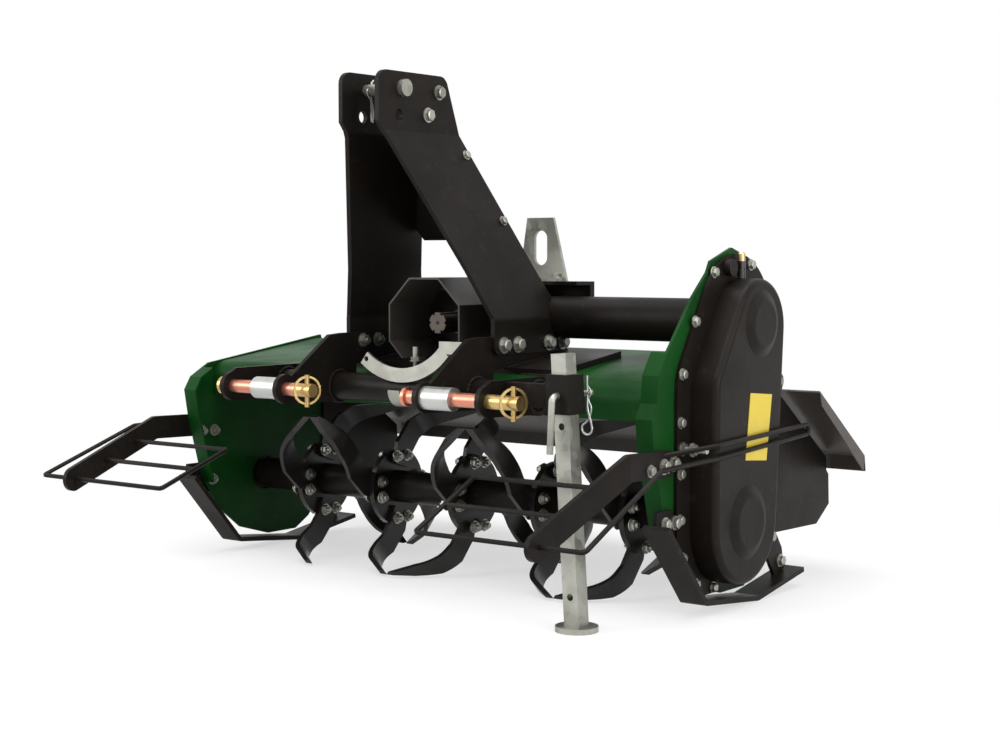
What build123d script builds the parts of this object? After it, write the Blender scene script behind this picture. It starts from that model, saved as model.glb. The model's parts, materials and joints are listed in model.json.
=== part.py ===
from build123d import *
from math import cos, hypot, radians, sin
import os

os.makedirs("parts", exist_ok=True)

# Rotary tiller for a three-point linkage, standing on its skids and its parking stand.
# X runs across the machine with the chain case at +X, -Y is the tractor side, +Z is up.
# Z = 0 is the ground and Y = 0 the middle of the overall length. Sizes are millimetres.
# Corner lists are (y, z) unless a comment says otherwise.

# A length beyond every piece, for cuts that go right through
FAR = 1500.0

# Play and gaps
SLIP = 0.2
RUNNING_GAP = 0.1
WELD_GAP = 0.3

# Side plates
SIDE_FACE = 497.0
SIDE_T = 5.0
LIP_DEPTH = 24.0
LIP_T = 4.0
# Where the side plate's edge has the lip
LIP_ZONE = [(-230.0, 135.0), (-110.0, 135.0), (-110.0, 445.0), (-230.0, 445.0)]
SIDE_LOWER = [
    (240.0, 300.0),
    (236.0, 170.0),
    (215.0, 100.0),
    (165.0, 40.0),
    (128.0, 19.0),
    (53.0, 19.0),
    (-20.0, 40.0),
    (-74.0, 82.0),
    (-112.0, 135.0),
    (-126.0, 186.0),
    (-145.0, 255.0),
    (-154.0, 307.0),
    (-139.0, 330.0),
]
SIDE_TOP_LEFT = [(-96.0, 353.0), (204.0, 394.0)]
SIDE_TOP_RIGHT = [
    (-135.0, 371.0),
    (-112.0, 403.0),
    (-38.0, 486.0),
    (5.0, 523.0),
    (15.0, 540.0),
    (80.0, 561.0),
    (133.0, 546.0),
    (175.0, 500.0),
    (195.0, 440.0),
    (204.0, 394.0),
]

# Rotor
ROTOR_Y = 45.0
ROTOR_Z = 137.0
ROTOR_TUBE_R = 28.5
ROTOR_END_GAP = 7.0
ROTOR_TUBE_HALF = SIDE_FACE - SIDE_T - ROTOR_END_GAP
JOURNAL_R = 22.0
JOURNAL_IN = 20.0
JOURNAL_END_GAP = 3.0
SIDE_HOLE_R = 32.0
BEARING_R = 55.0
BEARING_T = 26.0
FLANGES_X = (-337.0, -163.0, 11.0, 185.0, 359.0)
FLANGE_R = 68.0
FLANGE_T = 10.0
TINES_PER_FLANGE = 4
# Side of each tine by flange, from the front lower one on: +1 bends to +X
TINE_SIDES = (
    (1, 1, 1, 1),
    (1, -1, 1, -1),
    (-1, 1, -1, 1),
    (1, -1, 1, -1),
    (-1, -1, -1, -1),
)
TINE_TIP_LAG = 45.0
TINE_T = 8.0
TINE_BEND_Z = 142.0
TINE_BEND_R = 62.0
TINE_REACH = 78.0
TINE_TIP_R = 183.0
# Blade outline from root to tip: radius, lead angle before the tip, width
TINE_STATIONS = (
    (38.0, 45.0, 38.0),
    (70.0, 37.0, 44.0),
    (105.0, 25.0, 42.0),
    (136.0, 13.0, 35.0),
    (162.0, 4.5, 23.0),
    (TINE_TIP_R, 0.0, 6.0),
)

# Hood
HOOD_T = 4.0
HOOD_FRONT_Y = -88.0
HOOD_LOW_Z = 296.0
HOOD_ROLL_R = 34.0
HOOD_REAR_Y = 204.0
HOOD_REAR_Z = 390.0
HOOD_SLOPE = 0.129
HOOD_END_Y = 228.0
HOOD_END_Z = 361.0

# Base plate on the hood
BASE_T = 10.0
BASE_HALF = 257.0
BASE_Y0 = -56.0
BASE_Y1 = 122.0

# Three-point hitch, centred on HITCH_X
HITCH_X = 8.0
PIN_Y = -265.0
PIN_Z = 331.0
PIN_R = 11.0
PIN_HEAD_R = 15.0
PIN_HEAD_T = 6.0
PIN_LEFT = (-281.0, -75.0)
PIN_RIGHT = (120.0, 340.0)
LYNCH_IN = 13.0
LYNCH_R = 4.0
LYNCH_LOW = 27.0
LYNCH_RING_R = 22.0
LYNCH_WIRE = 3.4
LYNCH_TURN = 25.0
LYNCH_SIDES = 20
SLEEVE_R = 18.0
SLEEVE_LENGTH = 57.0
NOSE_R = 24.0
HITCH_T = 8.0
INNER_IN = 143.0
OUTER_IN = 264.0
OUTER_TOP_Z = 361.0
OUTER_LOW_Z = 301.0
OUTER_REAR_Y = -96.0
INNER_REAR_Y = BASE_Y1 - 7.0
INNER_FOOT_Y = BASE_Y0 - 2.0
INNER_TOP = [
    (-255.0, 349.0),
    (-158.0, 416.0),
    (-128.0, 418.0),
    (INNER_REAR_Y, 418.0),
]
INNER_FRONT = [
    (HOOD_FRONT_Y - 4.0, 364.0),
    (HOOD_FRONT_Y - 4.0, 318.0),
    (-120.0, 302.0),
    (PIN_Y + 3.0, PIN_Z - NOSE_R),
    (PIN_Y, PIN_Z),
]
OUTER_OUTLINE = [
    (PIN_Y - 5.0, PIN_Z + NOSE_R - 1.0),
    (PIN_Y + 8.0, OUTER_TOP_Z),
    (OUTER_REAR_Y, OUTER_TOP_Z),
    (OUTER_REAR_Y, OUTER_LOW_Z + 18.0),
    (OUTER_REAR_Y - 18.0, OUTER_LOW_Z),
    (PIN_Y, PIN_Z - NOSE_R),
]

# Front cross tube
TUBE_Y = -135.0
TUBE_Z = 329.0
TUBE_R = 23.5
TUBE_WALL = 4.0

# Rest for the driveline on the cross tube
CRADLE_T = 5.0
CRADLE_W = 23.0
CRADLE_Y = -159.5
# Arc and tab of the rest as (x, z)
CRADLE_ARC = ((-54.0, 381.0), (26.0, 354.5), (115.0, 396.0))
CRADLE_TAB = (128.0, 402.0)
CRADLE_TAB_W = 20.0
CRADLE_HOLE = (-49.0, 379.0, 4.5)
CLAMP_T = 5.0
CLAMP_W = 24.0
STUD_R = 4.5
STUD_TOP_Z = 398.0

# Mast
MAST_T = 8.0
MAST_TOP_IN = 34.0
MAST_FOOT_Z = 444.0
MAST_FOOT_H = 55.0
MAST_RISE = 396.0
MAST_HEAD = 95.0
MAST_LOW_Z = MAST_FOOT_Z - MAST_FOOT_H
MAST_TOP_Z = MAST_FOOT_Z + MAST_RISE
MAST_BEND_Z = MAST_TOP_Z - MAST_HEAD
MAST_BEND_R = 12.0
MAST_REAR_HIGH = (-42.0, MAST_BEND_Z + 2.0)
MAST_REAR_LOW = (55.0, MAST_FOOT_Z + 80.0)
# Corners of the mast plate as (y, z, corner radius)
MAST_OUTLINE = (
    (-245.0, MAST_TOP_Z, 20.0),
    (-77.0, MAST_TOP_Z, 20.0),
    (*MAST_REAR_HIGH, 0.0),
    (*MAST_REAR_LOW, 0.0),
    (92.0, MAST_FOOT_Z + 5.0, 0.0),
    (108.0, MAST_FOOT_Z - 12.0, 0.0),
    (108.0, MAST_LOW_Z, 14.0),
    (-99.0, MAST_LOW_Z, 14.0),
    (-99.0, MAST_FOOT_Z + 3.0, 0.0),
    (-129.0, MAST_FOOT_Z + 81.0, 0.0),
    (-226.0, MAST_BEND_Z - 9.0, 20.0),
    (-245.0, MAST_BEND_Z + 15.0, 0.0),
)
TOP_PIN_Y = -187.0
TOP_PIN_DROP = 26.0
TOP_PIN_Z = MAST_TOP_Z - TOP_PIN_DROP
TOP_PIN_R = 9.5
TOP_PIN_OUT = 10.0
TOP_PIN_HEAD = 4.0
SPARE_HOLE_Y = -195.0
SPARE_HOLE_DROP = 69.0
SPARE_HOLE_Z = MAST_TOP_Z - SPARE_HOLE_DROP
BRACE_T = 4.0
BRACE_INSET = 12.0
# Upper and lower end of the brace, as parts of the way from the bend to the foot
BRACE_SPAN = (0.03, 0.565)
BRACE_CUT = 18.0

# Gearbox and its input shaft
BOX_HALF = 85.0
BOX_Y0 = 23.0
BOX_Y1 = 129.0
BOX_TOP_Z = 505.0
BOX_CHAMFER = 16.0
PTO_Z = 436.0
PTO_R = 17.5
PTO_END_Y = -48.0
PTO_STUB = 53.0
PTO_NECK_R = 15.5
PTO_NECK = 3.0
PTO_SPLINE = 46.0
PTO_GROOVE = (6.0, 4.0)
PTO_JOURNAL_R = 20.0
PTO_SEAT = 40.0
PTO_BOSS_R = 38.0
PTO_BOSS_T = 14.0
PTO_SPLINES = 6
SHROUD_APOTHEM = 76.0
SHROUD_WALL = 3.0
SHROUD_FRONT_Y = -85.0

# Drive tube to the chain case
DRIVE_Y = 92.0
DRIVE_Z = 445.0
DRIVE_R = 35.5
DRIVE_WALL = 4.0
DRIVE_COLLAR_R = 50.0
DRIVE_COLLAR_T = 8.0
DRIVE_NOTCH = 1.5

# Bracket behind the drive tube and its slotted lug
BRACKET_T = 12.0
BRACKET_X = (-60.0, 198.0)
BRACKET_LOW_Z = 396.0
BRACKET_TOP_T = 6.0
BRACKET_WING_Z = 474.0
LUG_T = 6.0
LUG_FOOT_T = 6.0
LUG_FOOT_Y = 22.0
LUG_FOOT_X = (50.0, 138.0)
LUG_LOW_X = (44.0, 144.0)
LUG_HIGH_X = (61.0, 116.0)
LUG_HEIGHT = 109.0
LUG_TOP_Z = BOX_TOP_Z + LUG_HEIGHT
LUG_SLOT_AT = (90.0, BOX_TOP_Z + 57.0)
LUG_SLOT = (60.0, 27.0)

# Chain case
CASE_FLANGE_T = 6.0
CASE_FLANGE_W = 38.0
CASE_FLANGE_LOW_Z = 25.0
CASE_BODY_DEPTH = 17.0
COVER_DEPTH = 29.5
CASE_X0 = SIDE_FACE + CASE_FLANGE_T
CASE_SPLIT_X = CASE_X0 + CASE_BODY_DEPTH
CASE_FACE_X = CASE_SPLIT_X + COVER_DEPTH
CASE_CIRCLES = ((ROTOR_Y, ROTOR_Z, 98.0), (87.0, 437.0, 76.0), (-8.0, 345.0, 45.0))
COVER_EDGE_R = 10.0
DOME_H = 7.0
DOME_SLANT = 16.0
DOME_EDGE = 2.5
DOMES = ((84.0, 443.0, 52.0), (ROTOR_Y, ROTOR_Z, 58.0))
CAP_AT = (55.0, 530.0)
CAP_R = 13.0
CAP_T = 12.0
BREATHER_AT = (CASE_X0 + 9.0, 84.0)
BREATHER_NECK_R = 6.5
BREATHER_NECK = 17.0
BREATHER_NUT_R = 8.0
BREATHER_NUT = 10.0
BREATHER_CAP_R = 6.0
BREATHER_CAP = 14.0
BREATHER_EDGE = 2.5

# Skids
SKID_INSET_RIGHT = 12.0
SKID_INSET_LEFT = 31.0
SKID_IN_RIGHT = SIDE_FACE - SKID_INSET_RIGHT
SKID_IN_LEFT = SIDE_FACE - SKID_INSET_LEFT
SKID_WIDTH = 45.0
SKID_T = 8.0
SKID_LINE = [(-160.0, 146.0), (-48.0, 18.0), (119.0, 0.0), (275.0, 24.0)]
SKID_LUG_T = 6.0
SKID_BEND_R = 12.0
SKID_LUG_FRONT = [
    (-150.0, 140.0),
    (-146.0, 170.0),
    (-106.0, 170.0),
    (-97.0, 160.0),
    (-97.0, 84.0),
]
SKID_LUG_REAR = [
    (182.0, 76.0),
    (190.0, 104.0),
    (214.0, 108.0),
    (246.0, 66.0),
    (254.0, 30.0),
    (222.0, 22.0),
]

# Guards in front of the rotor
ARM_T = 8.0
ARM_R = 20.0
ARM_ROOT = (-119.0, 240.0)
ARM_KNEE = (-222.0, 243.0)
ARM_LENGTH = 215.0
ARM_TOE_IN = 26.0
WIRE_R = 4.0
WIRE_SIDES = 6
GUARD_BEND_R = 6.5
GUARD_IN = 262.0
GUARD_CLEAR = 2.5
GUARD_OUT = CASE_FACE_X + GUARD_CLEAR + WIRE_R
GUARD_BARS = (58.0, 137.0, ARM_LENGTH - 2.0)
GUARD_SLOPE_RIGHT = 25.1
GUARD_SLOPE_LEFT = 19.0
LOOP_FRONT_Y = -63.0
LOOP_REAR_Y = 232.0
LOOP_LOW_Z = (246.0, 260.0)
LOOP_HIGH_Z = (265.0, 275.0)
LOOP_WELD = (-132.0, 252.0)

# Parking stand
STAND_X = 424.0
STAND_Y = -240.0
STAND_SIDE = 26.0
STAND_WALL = 3.0
STAND_TOP = 407.0
STAND_LEAN = 3.6
STAND_HOLES = (51.0, 300.0, 345.0)
FOOT_R = 32.0
FOOT_T = 8.0
COLLAR_WALL = 6.8
COLLAR_LOW_Z = 318.0
COLLAR_TOP_Z = 376.0
STAND_PIN_R = 5.0
STAND_PIN_SIDES = 12
STAND_PIN_REAR = 48.0
STAND_PIN_FRONT = 33.0
STAND_PIN_DROP = 84.0
STAND_PIN_BEND_R = 9.0
STAND_PIN_LEAN = 4.0
CARRIER_END_X = 400.0
CARRIER_Y = (-225.0, -205.0)
CARRIER_Z = (322.0, 358.0)

# Rear board and its hinge
BOARD_T = 3.0
BOARD_HALF = 559.0
BOARD_END = (440.0, 205.0)
BOARD_LIP_END = (445.0, 178.0)
BOARD_SIDE_LIP = 25.0
HINGE_Y = 245.0
HINGE_Z = 342.0
HINGE_R = 6.0
BARREL_R = 11.0
BARREL_LENGTH = 90.0
BARRELS_X = (-350.0, 0.0, 350.0)
BOARD_START = 26.0
EAR_R = 13.0
WING_T = 5.0
WING_OUTLINE = [
    (205.0, 290.0),
    (250.0, 322.0),
    (428.0, 199.0),
    (430.0, 176.0),
    (438.0, 168.0),
    (441.0, 116.0),
    (394.0, 86.0),
    (239.0, 90.0),
    (205.0, 122.0),
]


def yz_polygon(points):
    """A flat outline from its corners."""
    return make_face(Polyline(*points, close=True))


def rounded(corners):
    """A flat outline from corners (u, v, radius), each rounded by its own radius."""
    outline = yz_polygon([(u, v) for u, v, _ in corners])
    for u, v, radius in corners:
        if radius:
            spot = Vector(u, v)
            corner = outline.vertices().sort_by(lambda vertex: (vertex.center() - spot).length)[0]
            outline = fillet(corner, radius)
    return outline


def disc(u, v, r):
    """A round outline at (u, v)."""
    return Pos(u, v) * Circle(r)


def yz_prism(outline, x0, x1):
    """A plate or block with a YZ outline, from x0 to x1."""
    return extrude(Plane.YZ.offset(x0) * outline, amount=x1 - x0)


def xz_prism(outline, y0, y1):
    """A plate or block with an XZ outline, from y0 back to y1."""
    return extrude(Plane.XZ.offset(-y0) * outline, amount=y0 - y1)


def x_rod(y, z, r, x0, x1):
    """A round bar along X."""
    return yz_prism(disc(y, z, r), x0, x1)


def rod(start, end, r):
    """A round bar between two points."""
    start, end = Vector(*start), Vector(*end)
    return Plane(origin=start, z_dir=end - start) * Cylinder(
        r, (end - start).length, align=(Align.CENTER, Align.CENTER, Align.MIN)
    )


def block(x0, x1, y0, y1, z0, z1):
    """A block between two corners."""
    return Pos((x0 + x1) / 2, (y0 + y1) / 2, (z0 + z1) / 2) * Box(x1 - x0, y1 - y0, z1 - z0)


def bent_sheet(points, radius, thickness, side):
    """The closed section of a bent sheet on one side of a rounded line."""
    line = FilletPolyline(*points, radius=radius)
    return make_face(offset(line, amount=thickness, side=side, closed=True))


def bent_wire(points, radius, section):
    """A bent round wire along a rounded line of corners."""
    path = FilletPolyline(*points, radius=radius)
    return sweep(Plane(origin=path @ 0, z_dir=path % 0) * section, path=path)


def mirrored(shape):
    """The same piece on the other side of the machine."""
    return mirror(shape, about=Plane.YZ)


def hood_top(y):
    """Height of the hood's flat top at y."""
    return HOOD_REAR_Z + HOOD_SLOPE * (y - HOOD_REAR_Y)


def base_top(y):
    """Height of the base plate's upper face at y."""
    return hood_top(y) + BASE_T


def side_plate(top):
    """Side plate with its inward front lip and the rear hinge ear, at +X."""
    outline = yz_polygon(top + SIDE_LOWER)
    lip = (outline - offset(outline, amount=-LIP_T)) & yz_polygon(LIP_ZONE)
    ear = disc(HINGE_Y, HINGE_Z, EAR_R) + yz_polygon(
        [
            (HOOD_REAR_Y, HINGE_Z + EAR_R + 8),
            (HINGE_Y, HINGE_Z + EAR_R),
            (HINGE_Y + EAR_R, HINGE_Z),
            SIDE_LOWER[0],
            (HOOD_REAR_Y, SIDE_LOWER[0][1]),
        ]
    )
    holes = disc(ROTOR_Y, ROTOR_Z, SIDE_HOLE_R) + disc(HINGE_Y, HINGE_Z, HINGE_R + SLIP)
    inner = SIDE_FACE - SIDE_T
    return yz_prism(outline + ear - holes, inner, SIDE_FACE) + yz_prism(lip, inner - LIP_DEPTH, inner)


def hood():
    """Bent cover over the rotor, open below."""
    section = bent_sheet(
        [
            (HOOD_FRONT_Y, HOOD_LOW_Z),
            (HOOD_FRONT_Y, hood_top(HOOD_FRONT_Y)),
            (HOOD_REAR_Y, HOOD_REAR_Z),
            (HOOD_END_Y, HOOD_END_Z),
        ],
        HOOD_ROLL_R,
        HOOD_T,
        Side.RIGHT,
    )
    inner = SIDE_FACE - SIDE_T
    return yz_prism(section, -inner, inner)


def base_plate():
    """Thick sloped plate on the hood under the gearbox and the hitch."""
    outline = yz_polygon(
        [
            (BASE_Y0, hood_top(BASE_Y0)),
            (BASE_Y1, hood_top(BASE_Y1)),
            (BASE_Y1, base_top(BASE_Y1)),
            (BASE_Y0, base_top(BASE_Y0)),
        ]
    )
    return yz_prism(outline, HITCH_X - BASE_HALF, HITCH_X + BASE_HALF)


def pin_hole():
    """Lower link hole of a hitch plate."""
    return disc(PIN_Y, PIN_Z, PIN_R + SLIP)


def tube_hole():
    """Hole of the front cross tube in a hitch plate."""
    return disc(TUBE_Y, TUBE_Z, TUBE_R + SLIP)


def hitch_inner(x0):
    """Inner hitch plate: nose at the lower pin, foot on the base plate."""
    foot = [(y, base_top(y)) for y in (INNER_REAR_Y, INNER_FOOT_Y)]
    outline = yz_polygon(INNER_TOP + foot + INNER_FRONT)
    outline = outline + disc(PIN_Y, PIN_Z, NOSE_R) - pin_hole() - tube_hole()
    outline -= disc(DRIVE_Y, DRIVE_Z, DRIVE_R + DRIVE_NOTCH)
    return yz_prism(outline, x0, x0 + HITCH_T)


def hitch_outer(x0):
    """Outer hitch plate: a short cheek from the pin to behind the cross tube."""
    outline = yz_polygon(OUTER_OUTLINE)
    outline = outline + disc(PIN_Y, PIN_Z, NOSE_R) - pin_hole() - tube_hole()
    return yz_prism(outline, x0, x0 + HITCH_T)


def link_pin(span):
    """Lower link pin with its collar at the inner end and a lynch pin hole."""
    x0, x1 = span
    bar = x_rod(PIN_Y, PIN_Z, PIN_R, x0, x1) + x_rod(PIN_Y, PIN_Z, PIN_HEAD_R, x0, x0 + PIN_HEAD_T)
    x = x1 - LYNCH_IN
    return bar - rod((x, PIN_Y, PIN_Z - 2 * PIN_R), (x, PIN_Y, PIN_Z + 2 * PIN_R), LYNCH_R + SLIP)


def lynch_pin(span):
    """Lynch pin with its spring ring round the end of a lower link pin."""
    x = span[1] - LYNCH_IN
    shank = rod((x, PIN_Y, PIN_Z - LYNCH_LOW), (x, PIN_Y, PIN_Z + LYNCH_RING_R + 3), LYNCH_R)
    ring = RegularPolygon(LYNCH_RING_R + LYNCH_WIRE / 2, LYNCH_SIDES)
    ring -= RegularPolygon(LYNCH_RING_R - LYNCH_WIRE / 2, LYNCH_SIDES)
    hoop = yz_prism(ring, -LYNCH_WIRE / 2, LYNCH_WIRE / 2)
    return shank + Pos(x, PIN_Y, PIN_Z) * Rot(0, 0, -LYNCH_TURN) * hoop


def link_sleeve(x0):
    """Loose sleeve on a lower link pin."""
    ring = disc(PIN_Y, PIN_Z, SLEEVE_R) - pin_hole()
    return yz_prism(ring, x0, x0 + SLEEVE_LENGTH)


def cross_tube():
    """Round cross tube through the hitch plates."""
    ring = disc(TUBE_Y, TUBE_Z, TUBE_R) - disc(TUBE_Y, TUBE_Z, TUBE_R - TUBE_WALL)
    half = OUTER_IN + HITCH_T
    return yz_prism(ring, HITCH_X - half, HITCH_X + half)


def mast_half(z):
    """Half the clear width between the spread mast legs at z."""
    slope = (INNER_IN + HITCH_T - MAST_TOP_IN) / (MAST_BEND_Z - MAST_FOOT_Z)
    return MAST_TOP_IN + (MAST_BEND_Z - z) * slope


def mast_plate():
    """Mast leg at +X: upright at the top, spread below the bend, upright foot."""
    foot = INNER_IN + HITCH_T
    section = bent_sheet(
        [
            (MAST_TOP_IN, MAST_TOP_Z),
            (MAST_TOP_IN, MAST_BEND_Z),
            (foot, MAST_FOOT_Z),
            (foot, MAST_LOW_Z),
        ],
        MAST_BEND_R,
        MAST_T,
        Side.LEFT,
    )
    outline = rounded(MAST_OUTLINE)
    outline -= disc(TOP_PIN_Y, TOP_PIN_Z, TOP_PIN_R + SLIP)
    outline -= disc(SPARE_HOLE_Y, SPARE_HOLE_Z, TOP_PIN_R + SLIP)
    return xz_prism(section, -FAR, FAR) & yz_prism(outline, 0, FAR)


def mast_right():
    """Right mast leg, notched round the drive tube."""
    notch = x_rod(DRIVE_Y, DRIVE_Z, DRIVE_R + DRIVE_NOTCH, 0, FAR)
    return Pos(HITCH_X, 0, 0) * mast_plate() - notch


def mast_rear(z):
    """Rear edge of the spread mast legs at z."""
    (y0, z0), (y1, z1) = MAST_REAR_HIGH, MAST_REAR_LOW
    return y0 + (y1 - y0) * (z0 - z) / (z0 - z1)


def mast_brace():
    """Sheet between the two mast legs near their rear edges."""
    z0, z1 = (MAST_BEND_Z - part * (MAST_BEND_Z - MAST_FOOT_Z) for part in BRACE_SPAN)
    y0, y1 = (mast_rear(z) - BRACE_INSET for z in (z0, z1))
    strip = yz_polygon([(y0, z0), (y1, z1), (y1 - BRACE_T, z1), (y0 - BRACE_T, z0)])
    high, low = mast_half(z0) - WELD_GAP, mast_half(z1) - WELD_GAP
    corner = mast_half(z1 + BRACE_CUT) - WELD_GAP
    edge = [(high, z0), (corner, z1 + BRACE_CUT), (low - BRACE_CUT, z1)]
    front = yz_polygon(edge + [(-x, z) for x, z in edge[::-1]])
    return Pos(HITCH_X, 0, 0) * (yz_prism(strip, -FAR, FAR) & xz_prism(front, -FAR, FAR))


def top_link_pin():
    """Upper link pin through both mast plates."""
    half = MAST_TOP_IN + MAST_T + TOP_PIN_OUT
    head = x_rod(TOP_PIN_Y, TOP_PIN_Z, TOP_PIN_R + TOP_PIN_HEAD, half - TOP_PIN_OUT, half)
    return Pos(HITCH_X, 0, 0) * (x_rod(TOP_PIN_Y, TOP_PIN_Z, TOP_PIN_R, -half, half) + head)


def octagon(apothem):
    """Regular octagon with flats at the top, bottom and sides."""
    return RegularPolygon(apothem, 8, major_radius=False, rotation=22.5)


def pto_shroud():
    """Octagonal guard round the input shaft, standing on the base plate."""
    ring = Pos(HITCH_X, PTO_Z) * (octagon(SHROUD_APOTHEM) - octagon(SHROUD_APOTHEM - SHROUD_WALL))
    floor_z = base_top(BOX_Y0) + SLIP
    return xz_prism(ring, SHROUD_FRONT_Y, BOX_Y0) - block(-FAR, FAR, -FAR, FAR, -FAR, floor_z)


def gearbox():
    """Bevel gearbox: one heavy block with a bearing boss."""
    body = yz_prism(
        yz_polygon(
            [
                (BOX_Y0, base_top(BOX_Y0)),
                (BASE_Y1, base_top(BASE_Y1)),
                (BOX_Y1, base_top(BASE_Y1)),
                (BOX_Y1, BOX_TOP_Z - 2),
                (BOX_Y1 - 2, BOX_TOP_Z),
                (BOX_Y0 + BOX_CHAMFER, BOX_TOP_Z),
                (BOX_Y0, BOX_TOP_Z - BOX_CHAMFER),
            ]
        ),
        HITCH_X - BOX_HALF,
        HITCH_X + BOX_HALF,
    )
    centre = Pos(HITCH_X, PTO_Z)
    boss = xz_prism(centre * Circle(PTO_BOSS_R), BOX_Y0 - PTO_BOSS_T, BOX_Y0)
    bore_end = BOX_Y0 + PTO_SEAT + JOURNAL_END_GAP
    bore = xz_prism(centre * Circle(PTO_JOURNAL_R + RUNNING_GAP), BOX_Y0 - PTO_BOSS_T - 1, bore_end)
    return body + boss - bore


def pto_shaft():
    """Input shaft stub with its splined end."""
    centre = Pos(HITCH_X, PTO_Z)
    neck_y = PTO_END_Y + PTO_STUB
    shoulder_y = neck_y + PTO_NECK
    bar = xz_prism(centre * Circle(PTO_R), PTO_END_Y, neck_y)
    bar += xz_prism(centre * Circle(PTO_NECK_R), neck_y, shoulder_y)
    bar += xz_prism(centre * Circle(PTO_JOURNAL_R), shoulder_y, BOX_Y0 + PTO_SEAT)
    groove = Pos(PTO_R, 0) * Rectangle(*PTO_GROOVE)
    for spline in range(PTO_SPLINES):
        place = centre * Rot(0, 0, spline * 360 / PTO_SPLINES)
        bar -= xz_prism(place * groove, PTO_END_Y - 1, PTO_END_Y + PTO_SPLINE)
    return bar


def drive_tube():
    """Tube from the gearbox to the chain case side, with its end collar."""
    bore = disc(DRIVE_Y, DRIVE_Z, DRIVE_R - DRIVE_WALL)
    end = SIDE_FACE - SIDE_T
    tube = yz_prism(disc(DRIVE_Y, DRIVE_Z, DRIVE_R) - bore, HITCH_X + BOX_HALF, end)
    collar = yz_prism(disc(DRIVE_Y, DRIVE_Z, DRIVE_COLLAR_R) - bore, end - DRIVE_COLLAR_T, end)
    return tube + collar


def gearbox_bracket():
    """Plate behind the gearbox with a wing and folded top over the drive tube."""
    x0, x1 = BRACKET_X
    box_end = HITCH_X + BOX_HALF
    y1 = BOX_Y1 + BRACKET_T
    wall = block(x0, box_end, BOX_Y1, y1, BRACKET_LOW_Z, BOX_TOP_Z)
    wing = block(box_end - 1, x1, BOX_Y1, y1, BRACKET_WING_Z, BOX_TOP_Z)
    low_z = BOX_TOP_Z - BRACKET_TOP_T
    fold = block(box_end + SLIP, x1, DRIVE_Y - 5, BOX_Y1 + 1, low_z, BOX_TOP_Z)
    return wall + wing + fold


def slotted_lug():
    """Upright slotted lug with a foot, on the bracket."""
    z0 = BOX_TOP_Z
    y0 = BOX_Y1 + BRACKET_T - LUG_T
    (low0, low1), (high0, high1) = LUG_LOW_X, LUG_HIGH_X
    outline = yz_polygon([(low0, z0), (low1, z0), (high1, LUG_TOP_Z), (high0, LUG_TOP_Z)])
    slot = Pos(*LUG_SLOT_AT) * Rot(0, 0, 90) * SlotOverall(*LUG_SLOT)
    foot = block(*LUG_FOOT_X, y0 - LUG_FOOT_Y, y0 + 1, z0, z0 + LUG_FOOT_T)
    return xz_prism(outline - slot, y0, y0 + LUG_T) + foot


def case_outline(grow):
    """Outline of the chain case, grown outward by a distance."""
    edges = [disc(y, z, r + grow).edge() for y, z, r in CASE_CIRCLES]
    return make_hull(edges)


def chain_case():
    """Chain case body and its bolting flange on the side plate."""
    flange = yz_prism(case_outline(CASE_FLANGE_W), SIDE_FACE, CASE_X0)
    flange -= block(SIDE_FACE - 1, CASE_X0 + 1, -FAR, FAR, -FAR, CASE_FLANGE_LOW_Z)
    body = yz_prism(case_outline(0), CASE_X0, CASE_SPLIT_X)
    bore = x_rod(ROTOR_Y, ROTOR_Z, JOURNAL_R + RUNNING_GAP, SIDE_FACE - 1, SIDE_FACE + JOURNAL_IN)
    return flange + body - bore


def dome(y, z, r):
    """Pressed round bulge on the cover's face."""
    upright = (Align.CENTER, Align.CENTER, Align.MIN)
    pad = Cone(r, r - DOME_SLANT, DOME_H, align=upright)
    pad = chamfer(pad.faces().sort_by(Axis.Z)[-1].edges(), DOME_EDGE)
    return Pos(CASE_FACE_X, y, z) * Rot(0, 90, 0) * pad


def chain_cover():
    """Pressed cover with rounded edge and two domes over the chain wheels."""
    plate = yz_prism(case_outline(0), CASE_SPLIT_X, CASE_FACE_X)
    plate = fillet(plate.faces().sort_by(Axis.X)[-1].edges(), COVER_EDGE_R)
    for y, z, r in DOMES:
        plate += dome(y, z, r)
    return plate


def case_cap():
    """Round cap on the top of the case flange."""
    return x_rod(*CAP_AT, CAP_R, CASE_X0, CASE_X0 + CAP_T)


def case_breather():
    """Breather on top of the case: neck, hexagon and cap."""
    z = CASE_CIRCLES[1][1] + CASE_CIRCLES[1][2]
    neck = extrude(Circle(BREATHER_NECK_R), amount=BREATHER_NECK)
    nut = Pos(0, 0, BREATHER_NECK) * extrude(RegularPolygon(BREATHER_NUT_R, 6), amount=BREATHER_NUT)
    cap = extrude(Circle(BREATHER_CAP_R), amount=BREATHER_CAP)
    cap = chamfer(cap.faces().sort_by(Axis.Z)[-1].edges(), BREATHER_EDGE)
    return Pos(*BREATHER_AT, z) * (neck + nut + Pos(0, 0, BREATHER_NECK + BREATHER_NUT) * cap)


def bearing_housing():
    """Flanged end bearing of the rotor on the left side plate."""
    x0 = SIDE_FACE
    body = x_rod(ROTOR_Y, ROTOR_Z, BEARING_R, x0, x0 + BEARING_T)
    bore = x_rod(ROTOR_Y, ROTOR_Z, JOURNAL_R + RUNNING_GAP, x0 - 1, x0 + JOURNAL_IN)
    return mirrored(body - bore)


def skid(inner):
    """Flat-bar runner under a side plate, with its two lugs."""
    section = bent_sheet(SKID_LINE, SKID_BEND_R, SKID_T, Side.LEFT)
    lugs = yz_polygon(SKID_LUG_FRONT) + yz_polygon(SKID_LUG_REAR)
    strip = yz_prism(section, inner, inner + SKID_WIDTH)
    return strip + yz_prism(lugs, SIDE_FACE, SIDE_FACE + SKID_LUG_T)


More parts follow.
